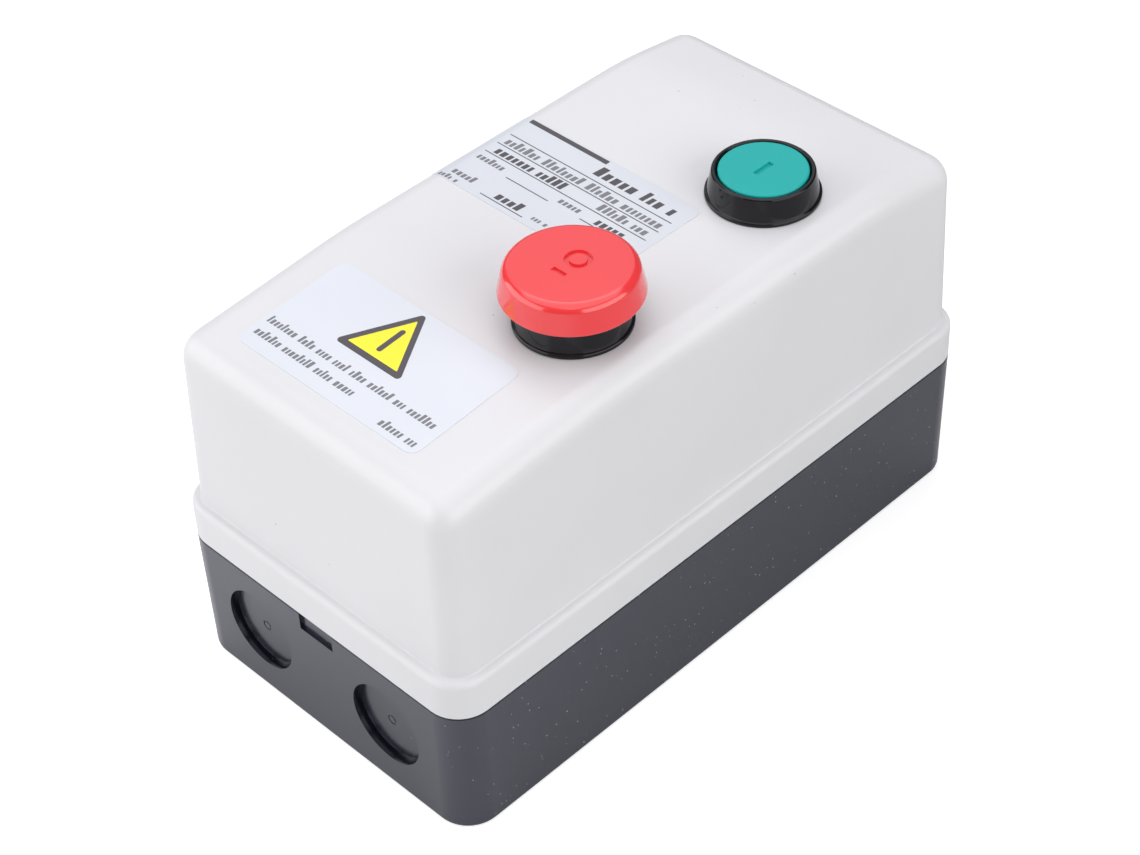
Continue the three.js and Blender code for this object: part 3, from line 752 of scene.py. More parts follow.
def wall_holes():
    """The two round fixing holes and the two keyholes in the back."""
    holes = []
    for x in (-33, 33):
        holes.append(peg(x, -64, 2.6, (-5, 5)))
        holes.append(peg(x, 64, 2.6, (-5, 5)))
        holes.append(peg(x, 57, 4.6, (-5.1, 5.1)))
        holes.append(brick((x - 2.6, x + 2.6), (57, 64), (-5.2, 5.2)))
    return holes


class STARTER_OT_base(bpy.types.Operator):
    """Make the base housing: a tray with knockouts, fixing holes and a locating rim"""

    bl_idname = "starter.base"
    bl_label = "Base Housing"

    def execute(self, context):
        sizes = context.scene.starter_enclosure
        bm = bmesh.new()
        lip = 0.0003
        outer = base_skin(bm, 0.0, 0.0, sizes.parting - lip, 0.0012)
        inward = [
            (-0.3 * lip, sizes.parting - 0.3 * lip),
            (-lip, sizes.parting),
            (-0.0025, sizes.parting),
            (-0.0025, RIM_TOP - 0.0004),
            (-0.0028, RIM_TOP),
        ]
        outer = extend_rim(bm, outer, sizes.corner, inward)
        inner = base_skin(bm, sizes.base_wall, 0.003, RIM_TOP, 0.0012)
        close_rim(bm, outer, inner)
        base = loose_object("base_tray", bm)

        posts = [brick((-37, -25), (-35, -25), (2, 8), 0.6)]
        posts.extend(brick((-18, 26), (y, y + 8), (2, 4.7), 0.5) for y in (-60, -24, -3, 51))
        posts.extend(peg(x, y, 4.2, (2, 4.7)) for x, y in TAB_SCREWS)
        carve(base, "UNION", posts)

        cuts = wall_holes()
        for x in (-KNOCKOUT_X, KNOCKOUT_X):
            for end in (-1, 1):
                y = end * (HALF_LENGTH - RECESS + 0.01)
                cuts.append(rod((x, y, KNOCKOUT_Z), sizes.knockout, 0.02, "Y", 96))
                cuts.extend(knockout_marks(x, end))
        cuts.append(brick((-5.4, 5.4), (-90, -84.2), (31.2, 36.8)))
        cuts.append(brick((-8, 8), (80.5, 83), (30, 32.6)))
        cuts.append(brick((-8, 8), (80.5, 83), (35.8, 41)))
        cuts.extend(peg(x, y, 2.2, (1.2, 9)) for x, y in TAB_SCREWS)
        cuts.append(peg(-31, -30, 2, (3, 9)))
        carve(base, "DIFFERENCE", cuts)
        finished(base, "base_charcoal", "base", "base_housing")
        return {"FINISHED"}


# ---- front cover ----


def cover_skin(bm, inset, bottom):
    """One skin of the cover's upper box, open at the bottom; returns its rim."""
    sizes = bpy.context.scene.starter_enclosure
    half_x = HALF_WIDTH - sizes.step - inset
    half_y = HALF_LENGTH - sizes.step - inset
    front = FRONT - inset
    corners = [
        (-half_y, bottom, 0),
        (half_y, bottom, 0),
        (half_y, sizes.far_edge - inset, 0),
        (sizes.far_bend, front, 0.11),
        (sizes.near_bend, front, 0.19),
        (-half_y, sizes.near_edge - inset, 0),
    ]
    side = [bm.verts.new((-half_x, y, z)) for y, z in with_arcs(corners, steps=5)]
    face = bm.faces.new(side)
    carried = bmesh.ops.extrude_face_region(bm, geom=[face])["geom"]
    far_side = only(bmesh.types.BMVert, carried)
    bmesh.ops.translate(bm, verts=far_side, vec=(2 * half_x, 0, 0))
    verts = side + far_side
    ends = [v for v in verts if abs(v.co.y) > half_y - MM]
    for v in verts:
        v.co.x -= math.copysign(sizes.draft * (v.co.z - sizes.shoulder), v.co.x)
    for v in ends:
        v.co.y -= math.copysign(sizes.draft * (v.co.z - sizes.shoulder), v.co.y)
    rounded = []
    for edge in {edge for v in verts for edge in v.link_edges}:
        a, b = edge.verts
        across = abs(a.co.x - b.co.x) > half_x
        at_end = a in ends and b in ends
        if not all_at(edge, bottom) and (at_end or not across):
            rounded.append(edge)
    faces = {f for v in verts for f in v.link_faces}
    bmesh.ops.delete(bm, geom=[f for f in faces if all_at(f, bottom)], context="FACES_ONLY")
    bevelled(bm, rounded, sizes.edge - inset, 10)
    return open_rim(bm, bottom)


def quarter(centre, radius, start, end, steps):
    """(outward, height) points on an arc, with angles in degrees."""
    points = []
    for k in range(steps + 1):
        angle = math.radians(start + (end - start) * k / steps)
        points.append((centre[0] + radius * math.cos(angle), centre[1] + radius * math.sin(angle)))
    return points


class STARTER_OT_cover(bpy.types.Operator):
    """Make the front cover: a drafted box on a wider band, with a falling front at both ends"""

    bl_idname = "starter.cover"
    bl_label = "Front Cover"

    def execute(self, context):
        sizes = context.scene.starter_enclosure
        bm = bmesh.new()
        crease = 0.0005
        shoulder = sizes.step - crease
        seat = sizes.parting + 0.0002
        outer = cover_skin(bm, 0.0, sizes.shoulder + crease)
        outer_steps = quarter((crease, sizes.shoulder + crease), crease, 180, 270, 3)[1:]
        outer_steps += quarter((crease, sizes.shoulder - shoulder), shoulder, 90, 0, 7)[1:]
        outer_steps += quarter((sizes.step - 0.0003, seat + 0.0003), 0.0003, 0, -90, 3)
        outer = extend_rim(bm, outer, sizes.edge, outer_steps)
        inner_floor = sizes.shoulder - sizes.wall
        inner = cover_skin(bm, sizes.wall, inner_floor)
        inner_steps = [(sizes.wall, inner_floor), (sizes.wall, seat)]
        inner = extend_rim(bm, inner, sizes.edge - sizes.wall, inner_steps)
        close_rim(bm, outer, inner)
        cover = loose_object("cover_shell", bm)
        across, hook = (-7, 7), COVER_LOW.z / MM
        tabs = [brick(across, (79.5, HALF_LENGTH / MM - 2.8), (hook, hook + 1))]
        for end, foot in ((-1, 32), (1, hook)):
            blade, root = (sorted((end * 78.4, end * y)) for y in (79.8, 81.5))
            tabs.append(brick(across, blade, (foot, 50), 0.3))
            tabs.append(brick(across, root, (46, 50.5)))
        carve(cover, "UNION", tabs)
        holes = [rod((BUTTON_X, y, FRONT), 0.0122, 0.02, steps=96) for y in (ON_Y, OFF_Y)]
        carve(cover, "DIFFERENCE", holes)
        finished(cover, "cover_white", "cover", "front_cover")
        return {"FINISHED"}


# ---- labels ----


FILM_TOP = 0.14 * MM
INK_BOTTOM = FILM_TOP - 0.01 * MM
INK_TOP = 0.165 * MM
# Where a film starts to bend over the cover's left edge, and the pitch of its creases from there
BEND_START = -0.0362
BEND_STEP = 0.0006


def front_point(u, y, lift):
    """The point that lies u along the front face from its middle line, lifted off the surface."""
    sizes = bpy.context.scene.starter_enclosure
    half = HALF_WIDTH - sizes.step - sizes.draft * (FRONT - sizes.shoulder)
    flat = half - sizes.edge
    z = FRONT
    end_y = HALF_LENGTH - sizes.step - sizes.draft * (sizes.near_edge - sizes.shoulder)
    if y < sizes.near_bend:
        z -= (FRONT - sizes.near_edge) * (sizes.near_bend - y) / (sizes.near_bend + end_y)
    over = max(0.0, abs(u) - flat)
    angle = over / sizes.edge
    radius = sizes.edge + lift
    x = min(abs(u), flat) + radius * math.sin(angle)
    return Vector((math.copysign(x, u), y, z - sizes.edge + radius * math.cos(angle)))


def laid_on_front(outline, low, high):
    """A flat outline of (u, y) points as a thin solid that follows the front face."""
    bm = bmesh.new()
    face = bm.faces.new([bm.verts.new((u, y, low)) for u, y in outline])
    carried = bmesh.ops.extrude_face_region(bm, geom=[face])["geom"]
    bmesh.ops.translate(bm, verts=only(bmesh.types.BMVert, carried), vec=(0, 0, high - low))
    reach = min(u for u, _ in outline)
    cut = BEND_START
    while cut > reach:
        geometry = bm.verts[:] + bm.edges[:] + bm.faces[:]
        bmesh.ops.bisect_plane(bm, geom=geometry, dist=1e-7, plane_co=(cut, 0, 0), plane_no=(1, 0, 0))
        cut -= BEND_STEP
    for v in bm.verts:
        v.co = front_point(v.co.x, v.co.y, v.co.z)
    bmesh.ops.recalc_face_normals(bm, faces=bm.faces)
    return bm


def panel_outline(x0, x1, y0, y1, radius):
    return with_arcs(in_mm((x0, y0, radius), (x1, y0, radius), (x1, y1, radius), (x0, y1, radius)))


def bar(x0, x1, y0, y1):
    """A printed bar, in millimetres."""
    outline = [Vector((x, y)) * MM for x, y in ((x0, y0), (x1, y0), (x1, y1), (x0, y1))]
    return laid_on_front(outline, INK_BOTTOM, INK_TOP)


def marks(rng, x0, x1, y0, height, letter, weight):
    """A row of small blocks, grouped as words, that stands for a line of print."""
    bars, x = [], x0
    while x < x1 - letter:
        for _ in range(rng.randint(3, 8)):
            wide = letter * weight * rng.uniform(0.75, 1.25)
            tall = height * rng.choice((0.68, 0.68, 0.68, 1.0))
            if x + wide > x1:
                break
            slant = 0.1 * tall
            points = ((x, y0), (x + wide, y0), (x + wide + slant, y0 + tall), (x + slant, y0 + tall))
            bars.append(laid_on_front([Vector(p) * MM for p in points], INK_BOTTOM, INK_TOP))
            x += wide + 0.32 * letter
        x += letter * 0.75
    return bars


class STARTER_OT_labels(bpy.types.Operator):
    """Lay the two label films on the cover, with generic rules, marks and a plain triangle"""

    bl_idname = "starter.labels"
    bl_label = "Labels"

    def execute(self, context):
        colours = context.scene.starter_colours
        rng = random.Random(7)
        rating = laid_on_front(panel_outline(-42.3, 16.3, -6.4, 23.8, 2.4), 0, FILM_TOP)
        grey = printed("Grey film", shaded(colours.label, 0.93))
        finished(loose_object("rating_film", rating), "label_film", "cover", "rating_label", material=grey)
        caution = laid_on_front(panel_outline(-30.6, 25.2, -73.2, -41.6, 2.6), 0, FILM_TOP)
        finished(loose_object("caution_film", caution), "label_film", "cover", "caution_label")

        ink = [bar(-37.1, -12.1, 22.0, 23.4)]
        rules = [(-36.8, 14.1, y) for y in (15.75, 11.5, 7.45)]
        rules += [(-25.6, -12.2, 3.25), (-25.7, -12.2, -4.85), (-2.3, 11.2, 3.35), (-2.3, 11.2, -4.8)]
        ink.extend(bar(x0, x1, y - 0.13, y + 0.13) for x0, x1, y in rules)
        # Rows of print: their ends, foot and height, and the width and weight of a letter
        bold = (
            (-12.0, 13.0, 17.4, 3.6, 2.3, 0.7),
            (-34.8, -12.6, 8.1, 2.8, 1.7, 0.7),
            (1.2, 9.6, 4.0, 2.7, 1.7, 0.7),
            (-22.2, -13.4, -4.1, 2.8, 1.8, 0.7),
        )
        fine = (
            (-35.6, 13.6, 12.2, 2.7, 1.7, 0.6),
            (-2.2, 12.8, 8.3, 2.6, 1.7, 0.6),
            (-36.4, -25.8, 4.1, 2.1, 1.3, 0.6),
            (-10.4, -2.9, 4.4, 2.1, 1.4, 0.6),
            (-36.6, -29.6, -3.6, 2.2, 1.4, 0.6),
            (-38.6, -32.4, -6.0, 1.6, 1.1, 0.6),
            (-10.4, -5.4, -4.1, 1.6, 1.1, 0.6),
            (-29.4, 24.0, -65.4, 2.2, 1.3, 0.55),
            (-28.9, 2.2, -69.6, 2.2, 1.3, 0.55),
            (12.6, 24.2, -71.5, 2.2, 1.35, 0.55),
        )
        for row in bold:
            ink.extend(marks(rng, *row))
        dark = printed("Label ink", colours.ink)
        finished(loose_object("label_print", joined(ink)), "label_film", "cover", material=dark)
        small = [mark for row in fine for mark in marks(rng, *row)]
        grey_ink = printed("Fine ink", colours.fine)
        finished(loose_object("label_fine_print", joined(small)), "label_film", "cover", material=grey_ink)

        border = with_arcs(in_mm((-13.7, -59.9, 0.9), (7.1, -59.9, 0.9), (-3.5, -41.9, 0.9)))
        border = laid_on_front(border, INK_BOTTOM, INK_TOP)
        finished(loose_object("triangle_border", border), "label_film", "cover", material=dark)
        field = with_arcs(in_mm((-11.0, -58.3, 0.2), (4.5, -58.3, 0.2), (-3.4, -44.8, 0.2)))
        field = laid_on_front(field, FILM_TOP, INK_TOP + 0.02 * MM)
        yellow = printed("Label yellow", colours.yellow)
        finished(loose_object("triangle_field", field), "label_film", "cover", material=yellow)
        upright = panel_outline(-4.15, -2.75, -56.6, -48.6, 0.65)
        upright = laid_on_front(upright, FILM_TOP, INK_TOP + 0.04 * MM)
        finished(loose_object("triangle_bar", upright), "label_film", "cover", material=dark)
        return {"FINISHED"}


# ---- push buttons ----


COLLAR_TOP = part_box("on_collar")[1].z
COLLAR_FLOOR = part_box("on_collar")[0].z
ON_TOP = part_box("on_button")[1].z
OFF_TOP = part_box("off_button")[1].z
STEM_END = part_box("on_button")[0].z


def from_front(*corners):
    """(radius, height, round) corners in millimetres, with heights over the front face."""
    return [(r * MM, FRONT + z * MM, c * MM) for r, z, c in corners]


class STARTER_OT_collars(bpy.types.Operator):
    """Turn the glossy collars that carry the buttons"""

    bl_idname = "starter.collars"
    bl_label = "Collars"

    def execute(self, context):
        foot = context.scene.starter_buttons.collar / MM
        rim = (COLLAR_TOP - FRONT) / MM
        floor = (COLLAR_FLOOR - FRONT) / MM
        profile = from_front(
            (3.4, floor, 0),
            (11.9, floor, 0.3),
            (11.9, 0.08, 0),
            (foot, 0.08, 0.12),
            (foot, 1.0, 0.45),
            (foot - 0.55, 1.15, 0.15),
            (11.75, rim, 0.5),
            (10.75, rim, 0.45),
            (10.6, rim - 1.2, 0.1),
            (10.6, floor + 2, 0.2),
            (3.4, floor + 2, 0),
        )
        for name, y in (("on", ON_Y), ("off", OFF_Y)):
            bm = turned(with_arcs(profile), BUTTON_X, y)
            finished(loose_object(f"{name}_bezel", bm), "collar_black", "cover", f"{name}_collar", sharp=50)
        return {"FINISHED"}


FLARE = 0.00012
SIGN_DEPTH = 0.0006


def engraved_bar(x, y, width, length, top):
    """A tool for a sunk bar whose walls open out towards the surface."""
    half = Vector((width / 2, length / 2, SIGN_DEPTH))
    bm = block(Vector((x, y, top)) - half, Vector((x, y, top)) + half)
    for v in bm.verts:
        if v.co.z > top:
            v.co.x += math.copysign(2 * FLARE, v.co.x - x)
            v.co.y += math.copysign(2 * FLARE, v.co.y - y)
    return bm


def engraved_ring(x, y, outer, inner, top):
    """A tool for a sunk ring whose walls open out in the same way."""
    low, high = top - SIGN_DEPTH, top + SIGN_DEPTH
    profile = [(inner, low), (outer, low), (outer + 2 * FLARE, high), (inner - 2 * FLARE, high)]
    return turned(profile, x, y, steps=64)


class STARTER_OT_buttons(bpy.types.Operator):
    """Make the flush ON disc and the mushroom OFF cap, each marked with a plain sign"""

    bl_idname = "starter.buttons"
    bl_label = "Buttons"

    def execute(self, context):
        sizes = context.scene.starter_buttons
        disc, cap = sizes.disc / MM, sizes.cap / MM
        on_top, off_top = (ON_TOP - FRONT) / MM, (OFF_TOP - FRONT) / MM
        stem_end = (STEM_END - FRONT) / MM
        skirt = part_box("on_spring")[1].z - FRONT
        on_seat = skirt / MM + 0.3
        off_seat = (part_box("off_spring")[1].z - FRONT) / MM + 0.3

        def stem(seat):
            shoulder = ((8.3, -1.9, 0.2), (8.3, seat, 0.3), (3.0, seat, 0.3))
            return *shoulder, (3.0, stem_end, 0.3), (0, stem_end, 0)

        on_profile = from_front((0, on_top, 0), (disc, on_top, 0.45), (disc, -1.9, 0.3), *stem(on_seat))
        on = turned(with_arcs(on_profile, closed=False), BUTTON_X, ON_Y, closed=False)
        on = loose_object("on_disc", on)
        carve(on, "DIFFERENCE", [engraved_bar(BUTTON_X, ON_Y, 0.0013, 0.0054, ON_TOP)])
        finished(on, "button_green", "on_push", "on_button", sharp=40)

        off_profile = from_front(
            (0, off_top, 0),
            (cap - 1.5, off_top, 2.3),
            (cap, 8.4, 0.5),
            (cap - 0.6, 8.0, 0.15),
            (cap - 1.3, 8.0, 0.15),
            (cap - 2.0, 12.0, 0.8),
            (disc, 12.0, 0.5),
            (disc, -1.9, 0.3),
            *stem(off_seat),
        )
        off = turned(with_arcs(off_profile, closed=False), BUTTON_X, OFF_Y, closed=False)
        off = loose_object("off_mushroom", off)
        signs = [
            engraved_ring(BUTTON_X, OFF_Y + 0.0022, 0.003, 0.002, OFF_TOP),
            engraved_bar(BUTTON_X, OFF_Y - 0.0036, 0.0036, 0.0011, OFF_TOP),
        ]
        carve(off, "DIFFERENCE", signs)
        finished(off, "button_red", "off_push", "off_button", sharp=40)
        return {"FINISHED"}


# ---- springs, nuts and clips behind the cover ----


def helix(x, y, radius, low, high, turns, steps=32):
    """Points along a spring with one closed turn at each end."""
    points = []
    count = int(turns * steps)
    for k in range(count + 1):
        along = k / steps
        share = min(max((along - 1) / (turns - 2), 0), 1)
        arm = Vector((radius, 0, 0))
        arm.rotate(Matrix.Rotation(2 * math.pi * along, 3, "Z"))
        points.append(Vector((x, y, low + (high - low) * share)) + arm)
    return points


class STARTER_OT_springs(bpy.types.Operator):
    """Wind the return springs"""

    bl_idname = "starter.springs"
    bl_label = "Springs"

    def execute(self, context):
        springs = (
            ("on_spring", 5.6, 0.45, 6, "cover", "on_press"),
            ("off_spring", 5.6, 0.45, 6, "cover", "off_press"),
            ("carrier_spring", 10.6, 0.4, 4, "base", "carrier_pull"),
        )
        for node, radius, wire, turns, body, joint in springs:
            low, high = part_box(node)
            centre = middle(node)
            wire *= MM
            coils = helix(centre.x, centre.y, radius * MM, low.z + wire, high.z - wire, turns)
            piece = loose_object(f"{node}_coil", wire_along(coils, wire))
            finished(piece, "spring_steel", body, node, sharp=60)
            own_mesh(piece)
        return {"FINISHED"}


class STARTER_OT_fasteners(bpy.types.Operator):
    """Make the ring nuts, the clips and all the screws"""

    bl_idname = "starter.fasteners"
    bl_label = "Fasteners"

    def execute(self, context):
        x = BUTTON_X / MM
        for name, y in (("on", ON_Y / MM), ("off", OFF_Y / MM)):
            low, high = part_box(f"{name}_ring_nut")
            z0, z1 = low.z / MM, high.z / MM
            corners = in_mm((12.3, z0, 0.3), (14.6, z0, 0.5), (14.6, z1, 0.3), (12.3, z1, 0.3))
            nut = loose_object(f"{name}_nut", turned(with_arcs(corners), BUTTON_X, y * MM))
            notches = []
            for k in range(12):
                notch = brick((14.0, 16), (-0.7, 0.7), (z0 - 1, z1 + 1))
                notches.append(swung(notch, 15 + 30 * k, BUTTON_X, y * MM))
            notches.append(brick((x - 1.5, x + 1.5), (y - 17, y + 17), (z0 - 1, z0 + 1.4)))
            notches.append(brick((x - 17, x + 17), (y - 1.5, y + 1.5), (z0 - 1, z0 + 1.4)))
            carve(nut, "DIFFERENCE", notches)
            finished(nut, "phenolic_black", "cover", f"{name}_ring_nut")

            low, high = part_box(f"{name}_clip")
            z0, z1 = low.z / MM, high.z / MM
            corners = in_mm((3.3, z0, 0.15), (5, z0, 0.2), (5, z1, 0.2), (3.3, z1, 0.15))
            clip = loose_object(f"{name}_retainer", turned(with_arcs(corners, 3), BUTTON_X, y * MM, 48))
            carve(clip, "DIFFERENCE", [brick((x - 1, x + 1), (y, y + 6), (z0 - 1, z1 + 1))])
            finished(clip, "steel_plated", f"{name}_push", f"{name}_clip")

        plated = ["contactor_screw_1", "contactor_screw_2"]
        for side in ("line", "load", "motor"):
            plated.extend(f"{side}_screw_{n}" for n in (1, 2, 3))
        self.screws("machine_screws", plated, "steel_plated")
        self.screws("earthing_screw", ["earth_screw"], "screw_green")
        return {"FINISHED"}

    def screws(self, name, nodes, slot):
        """One piece of several pan-head screws, each filling its frame node's box."""
        bodies, recesses = [], []
        for node in nodes:
            low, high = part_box(node)
            x, y = middle(node).xy
            head = (high.x - low.x) / 2 / MM
            seat, top, tip = high.z / MM - 0.75 * head, high.z / MM, low.z / MM
            profile = in_mm(
                (0, tip, 0), (1.2, tip, 0), (1.7, tip + 0.7, 0), (1.7, seat, 0),
                (head, seat, 0.15), (head, seat + 0.6, 0.2), (0.84 * head, seat + 0.7, 0.1),
                (0.8 * head, top, 0.9), (0, top, 0),
            )
            bodies.append(turned(with_arcs(profile, closed=False), x, y, 40, closed=False))
            for reach_x, reach_y, depth in ((0.8 * head, 0.45, 1.1), (0.45, 0.5 * head, 1.3)):
                arm = brick((-reach_x, reach_x), (-reach_y, reach_y), (top - depth, top + 1))
                recesses.append(swung(arm, 0, x, y))
        screws = loose_object(name, joined(bodies))
        carve(screws, "DIFFERENCE", recesses)
        finished(screws, slot, "base", *nodes)


# ---- devices inside ----


MODULE_X = (-21, 29)
POLES = (-8, 4, 16)


def from_node(node, *corners):
    """(radius, height below the node's top, round) corners in millimetres."""
    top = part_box(node)[1].z / MM
    return in_mm(*((r, top - z, c) for r, z, c in corners))


class STARTER_OT_contactor(bpy.types.Operator):
    """Make the contactor's head with its terminal bays and vents"""

    bl_idname = "starter.contactor"
    bl_label = "Contactor Head"

    def execute(self, context):
        head = loose_object("contactor_case", brick(MODULE_X, (-4, 62), (38.3, 72), 0.8, 3))
        cuts = [
            brick((-5, 13), (5.5, 52.5), (37, 46.5)),
            brick((-13.6, 21.6), (23.9, 34.1), (37, 67)),
            brick((-1.6, 9.6), (25.4, 32.6), (66, 80)),
        ]
        for x in POLES:
            cuts.append(brick((x - 4, x + 4), (14, 44), (50, 62)))
            cuts.append(brick((x - 3.9, x + 3.9), (-5, 63), (50, 52)))
            for y, bay in ((55, (48, 63)), (3, (-5, 10))):
                cuts.append(brick((x - 4.7, x + 4.7), bay, (50, 80), 0.3))
                cuts.append(peg(x, y, 2.1, (43, 51)))
            for y in (15.5, 18, 20.5, 37.5, 40, 42.5):
                cuts.append(brick((x - 3.6, x + 3.6), (y - 0.5, y + 0.5), (70.6, 73)))
        for x in (-21.4, 28.6):
            cuts.extend(brick((x, x + 0.8), (y, y + 1.2), (42, 68)) for y in range(14, 46, 3))
        carve(head, "DIFFERENCE", cuts)
        finished(head, "phenolic_black", "base", "contactor_head")
        return {"FINISHED"}


class STARTER_OT_relay(bpy.types.Operator):
    """Make the overload relay's cover, its setting dial with a plain scale, and the plungers"""

    bl_idname = "starter.relay"
    bl_label = "Relay Cover"

    def execute(self, context):
        cover = loose_object("relay_case", brick(MODULE_X, (-48, -13), (50.3, 76), 0.8, 3))
        dial_x, dial_y = (value / MM for value in middle("current_dial").xy)
        reset_x, reset_y = BUTTON_X / MM, OFF_Y / MM
        cuts = [
            brick((-18.8, 26.8), (-45.5, -15.5), (49.3, 73.5)),
            peg(dial_x, dial_y, 6.0, (75, 80), 64),
            peg(dial_x, dial_y, 2.9, (70, 80)),
            peg(reset_x, reset_y, 3.4, (70, 80), 48),
            peg(reset_x, reset_y, 5.2, (75.4, 80), 48),
        ]
        for pole in POLES:
            cuts.append(brick((pole - 2.8, pole + 2.8), (-16, -12), (49.3, 53.4)))
            cuts.extend(brick((pole - 3.4, pole + 3.4), (y, y + 1), (74.9, 77)) for y in (-44, -41.6))
        carve(cover, "DIFFERENCE", cuts)
        finished(cover, "phenolic_black", "base", "relay_cover")

        ticks = []
        for k in range(9):
            tick = brick((-0.18, 0.18), (6.8, 8.4 if k % 4 == 0 else 7.8), (75.98, 76.06))
            ticks.append(swung(tick, -120 + 30 * k, dial_x * MM, dial_y * MM))
        paint = printed("Scale paint", (0.8, 0.8, 0.78))
        finished(loose_object("dial_scale", joined(ticks)), "phenolic_black", "base", material=paint)

        knob = from_node(
            "current_dial",
            (0, 0, 0), (5.5, 0, 0.5), (5.5, 1.9, 0.2), (2.5, 1.9, 0), (2.5, 9.6, 0), (0, 9.6, 0),
        )
        knob = turned(with_arcs(knob, closed=False), dial_x * MM, dial_y * MM, closed=False)
        knob = loose_object("setting_dial", knob)
        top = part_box("current_dial")[1].z / MM
        slots = [
            brick((dial_x - 0.6, dial_x + 0.6), (dial_y - 4, dial_y + 4), (top - 1, top + 1)),
            brick((dial_x - 0.25, dial_x + 0.25), (dial_y + 4.6, dial_y + 6), (top - 0.8, top + 1)),
        ]
        carve(knob, "DIFFERENCE", slots)
        finished(knob, "dial_yellow", "dial", "current_dial")

        plungers = (
            ("start", "button_green", ON_Y, ((0, 0, 0), (2.5, 0, 0.6), (2.5, 5.8, 0.2), (0, 5.8, 0))),
            (
                "reset", "carrier_red", OFF_Y,
                ((0, 0, 0), (3, 0, 0.8), (3, 15.6, 0), (4.6, 15.6, 0.3), (4.6, 17.6, 0.3), (3, 17.6, 0),
                 (3, 25.6, 0.3), (0, 25.6, 0)),
            ),
        )
        for name, slot, y, corners in plungers:
            profile = with_arcs(from_node(f"{name}_plunger", *corners), closed=False)
            piece = loose_object(f"{name}_pin", turned(profile, BUTTON_X, y, 48, closed=False))
            finished(piece, slot, f"{name}_plunger", f"{name}_plunger")
        return {"FINISHED"}


class STARTER_OT_wires(bpy.types.Operator):
    """Run the two control wires along the contactor's side"""

    bl_idname = "starter.wires"
    bl_label = "Control Wires"

    def execute(self, context):
        routes = {
            "start": ((28.3, 42, 77), (30.6, 42, 77), (33.6, 44, 72), (33.6, 50, 57), (33.6, 55.5, 36),
                      (31.6, 57, 27.5), (29.6, 57, 27)),
            "stop": ((29.6, -36, 60), (31.6, -35.6, 59.6), (33.6, -26, 53), (33.6, -4, 39), (33.6, 9, 29),
                     (31.6, 14.6, 25.4), (29.6, 15, 25)),
        }
        for name, route in routes.items():
            line = curve_through([Vector(point) * MM for point in route])
            piece = loose_object(f"{name}_lead", wire_along(line, 1.1 * MM, 16))
            finished(piece, "wire_blue", "base", f"{name}_wire", sharp=60)
        return {"FINISHED"}


class STARTER_OT_devices(bpy.types.Operator):
    """Finish the frame nodes that show as they are: the contactor, the relay and small parts"""

    bl_idname = "starter.devices"
    bl_label = "Devices"

    def execute(self, context):
        slots = {part["node"]: part["material_slot"] for part in frame["record"]["subparts"]}
        for name, node in frame["nodes"].items():
            if node.hide_render:
                continue
            node.data.materials.clear()
            node.data.materials.append(finish(slots[name]))
            weld = node.modifiers.new("Weld", "WELD")
            weld.merge_threshold = 0.001 * MM
            edge = node.modifiers.new("Bevel", "BEVEL")
            edge.width = 0.2 * MM
            edge.segments = 2
            edge.limit_method = "ANGLE"
            edge.angle_limit = math.radians(40)
        return {"FINISHED"}


# ---- stage ----


SKY = (0.985, 0.98, 1.02)


def soft_light(name, place, aim, size, power, colour=(1, 1, 1)):
    lamp = bpy.data.lights.new(name, "AREA")
    lamp.shape = "RECTANGLE"
    lamp.size, lamp.size_y = size
    lamp.energy = power
    lamp.color = colour
    light = bpy.data.objects.new(name, lamp)
    light.location = place
    light.rotation_euler = (Vector(aim) - Vector(place)).to_track_quat("-Z", "Y").to_euler()
    bpy.context.scene.collection.objects.link(light)


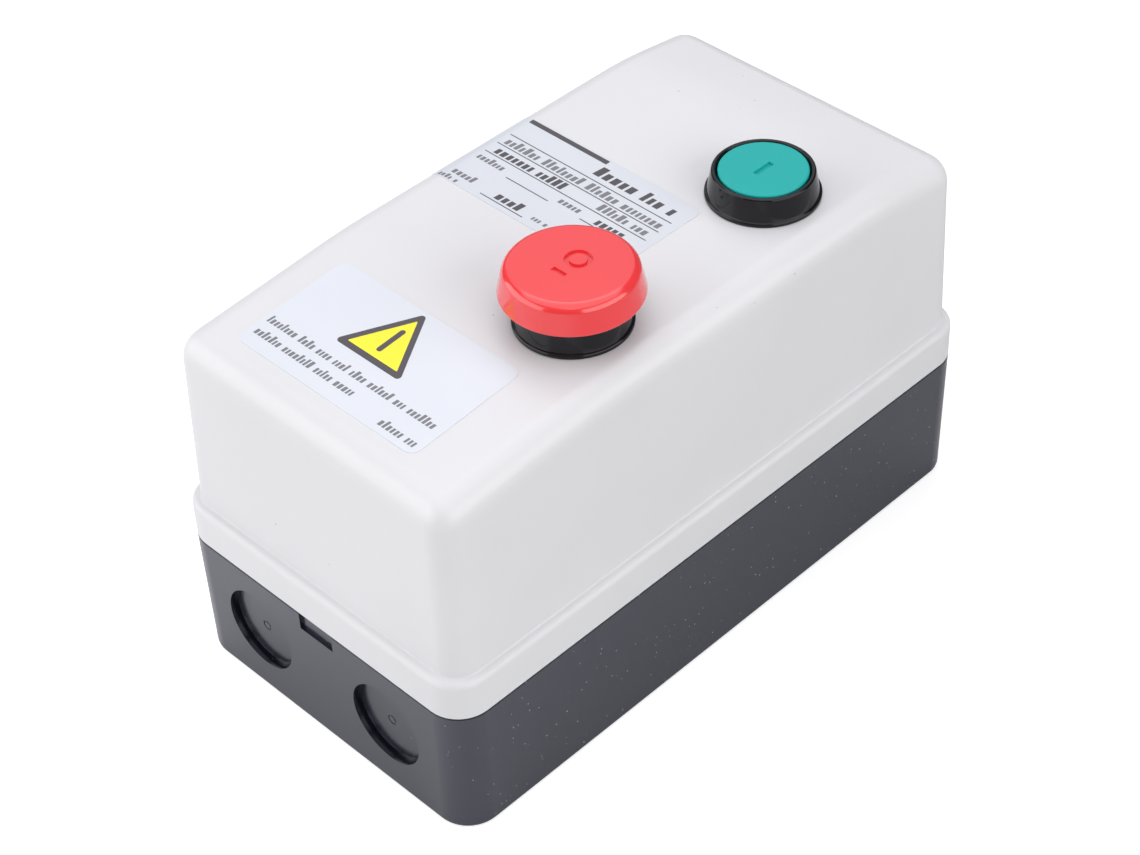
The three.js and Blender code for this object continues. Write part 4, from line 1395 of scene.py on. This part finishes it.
class STARTER_OT_stage(bpy.types.Operator):
    """Set the pale floor, the soft studio lights and the camera"""

    bl_idname = "starter.stage"
    bl_label = "Stage"

    def execute(self, context):
        stage = context.scene.starter_stage
        floor_mesh = block((-2.5, -2.5, -0.0105), (2.5, 2.5, -0.0001))
        floor = loose_object("floor", floor_mesh)
        material, tree, shader = fresh_material("Pale floor")
        # Painted shade: the floor's colour runs from the floor colour to the darker painted-shade colour
        # along X + Y, in place of the object's shadow there
        split = tree.nodes.new("ShaderNodeSeparateXYZ")
        tree.links.new(object_place(tree), split.inputs["Vector"])
        across = math_node(tree, "ADD", split.outputs["X"], split.outputs["Y"])
        ramp = tree.nodes.new("ShaderNodeMapRange")
        ramp.inputs["From Min"].default_value = -0.16
        ramp.inputs["From Max"].default_value = 0.16
        tree.links.new(across, ramp.inputs["Value"])
        tone = blend_colour(tree, ramp.outputs["Result"], stage.floor, stage.painted_shade_floor)
        tree.links.new(tone, shader.inputs["Base Color"])
        shader.inputs["Roughness"].default_value = 0.9
        shader.inputs["Specular IOR Level"].default_value = 0.1
        shader.inputs["Emission Color"].default_value = (1, 1, 1, 1)
        to_camera = tree.nodes.new("ShaderNodeLightPath").outputs["Is Camera Ray"]
        glow = math_node(tree, "MULTIPLY", to_camera, stage.glow)
        tree.links.new(glow, shader.inputs["Emission Strength"])
        floor.data.materials.append(material)

        world = bpy.data.worlds.new("Studio")
        world.use_nodes = True
        sky = world.node_tree.nodes["Background"]
        sky.inputs["Color"].default_value = (1, 1, 1, 1)
        sky.inputs["Strength"].default_value = stage.world
        context.scene.world = world
        soft_light("overhead softbox", (0, 0, 1.1), (0, 0, 0.05), (1.5, 1.5), 9.5, SKY)
        soft_light("rear softbox", (-0.72, 0.55, 0.95), (0, 0, 0.05), (1.3, 1.3), 3.8, SKY)
        soft_light("cable end wall", (-1.15, -1.5, 0.85), (0, 0, 0.85), (3.0, 1.6), 34)
        soft_light("side wall", (1.6, 0.2, 0.9), (0, 0, 0.9), (2.4, 1.4), 26)
        context.scene.view_settings.view_transform = "Standard"

        data = bpy.data.cameras.new("camera")
        data.sensor_width = 36.0
        data.lens = stage.lens
        data.clip_start = 0.01
        camera = bpy.data.objects.new("camera", data)
        azimuth, elevation = stage.azimuth, stage.elevation
        back = Vector((
            math.sin(azimuth) * math.cos(elevation),
            -math.cos(azimuth) * math.cos(elevation),
            math.sin(elevation),
        ))
        right = Vector((0, 0, 1)).cross(back).normalized()
        axes = Matrix((right, back.cross(right), back)).transposed()
        turn = axes @ Matrix.Rotation(stage.roll, 3, "Z")
        place = Vector(stage.target) + back * stage.distance
        camera.matrix_world = Matrix.Translation(place) @ turn.to_4x4()
        context.scene.collection.objects.link(camera)
        context.scene.camera = camera
        return {"FINISHED"}


# ---- add-on ----


class STARTER_PT_panel(bpy.types.Panel):
    """Lists the pieces of the motor starter"""

    bl_label = "Motor Starter"
    bl_idname = "STARTER_PT_panel"
    bl_space_type = "VIEW_3D"
    bl_region_type = "UI"
    bl_category = "Motor Starter"

    def draw(self, context):
        for operator in OPERATORS:
            self.layout.operator(operator.bl_idname)


SETTINGS = {
    "starter_enclosure": StarterEnclosure,
    "starter_buttons": StarterButtons,
    "starter_colours": StarterColours,
    "starter_stage": StarterStage,
}
OPERATORS = (
    STARTER_OT_stage,
    STARTER_OT_base,
    STARTER_OT_cover,
    STARTER_OT_labels,
    STARTER_OT_collars,
    STARTER_OT_buttons,
    STARTER_OT_springs,
    STARTER_OT_fasteners,
    STARTER_OT_contactor,
    STARTER_OT_relay,
    STARTER_OT_wires,
    STARTER_OT_devices,
)


def register():
    for name, group in SETTINGS.items():
        bpy.utils.register_class(group)
        setattr(bpy.types.Scene, name, PointerProperty(type=group))
    for operator in OPERATORS:
        bpy.utils.register_class(operator)
    bpy.utils.register_class(STARTER_PT_panel)


def unregister():
    bpy.utils.unregister_class(STARTER_PT_panel)
    for operator in reversed(OPERATORS):
        bpy.utils.unregister_class(operator)
    for name, group in reversed(SETTINGS.items()):
        delattr(bpy.types.Scene, name)
        bpy.utils.unregister_class(group)


def main():
    register()
    for operator in OPERATORS:
        getattr(bpy.ops.starter, operator.bl_idname.split(".")[1])()


if __name__ == "__main__":
    main()
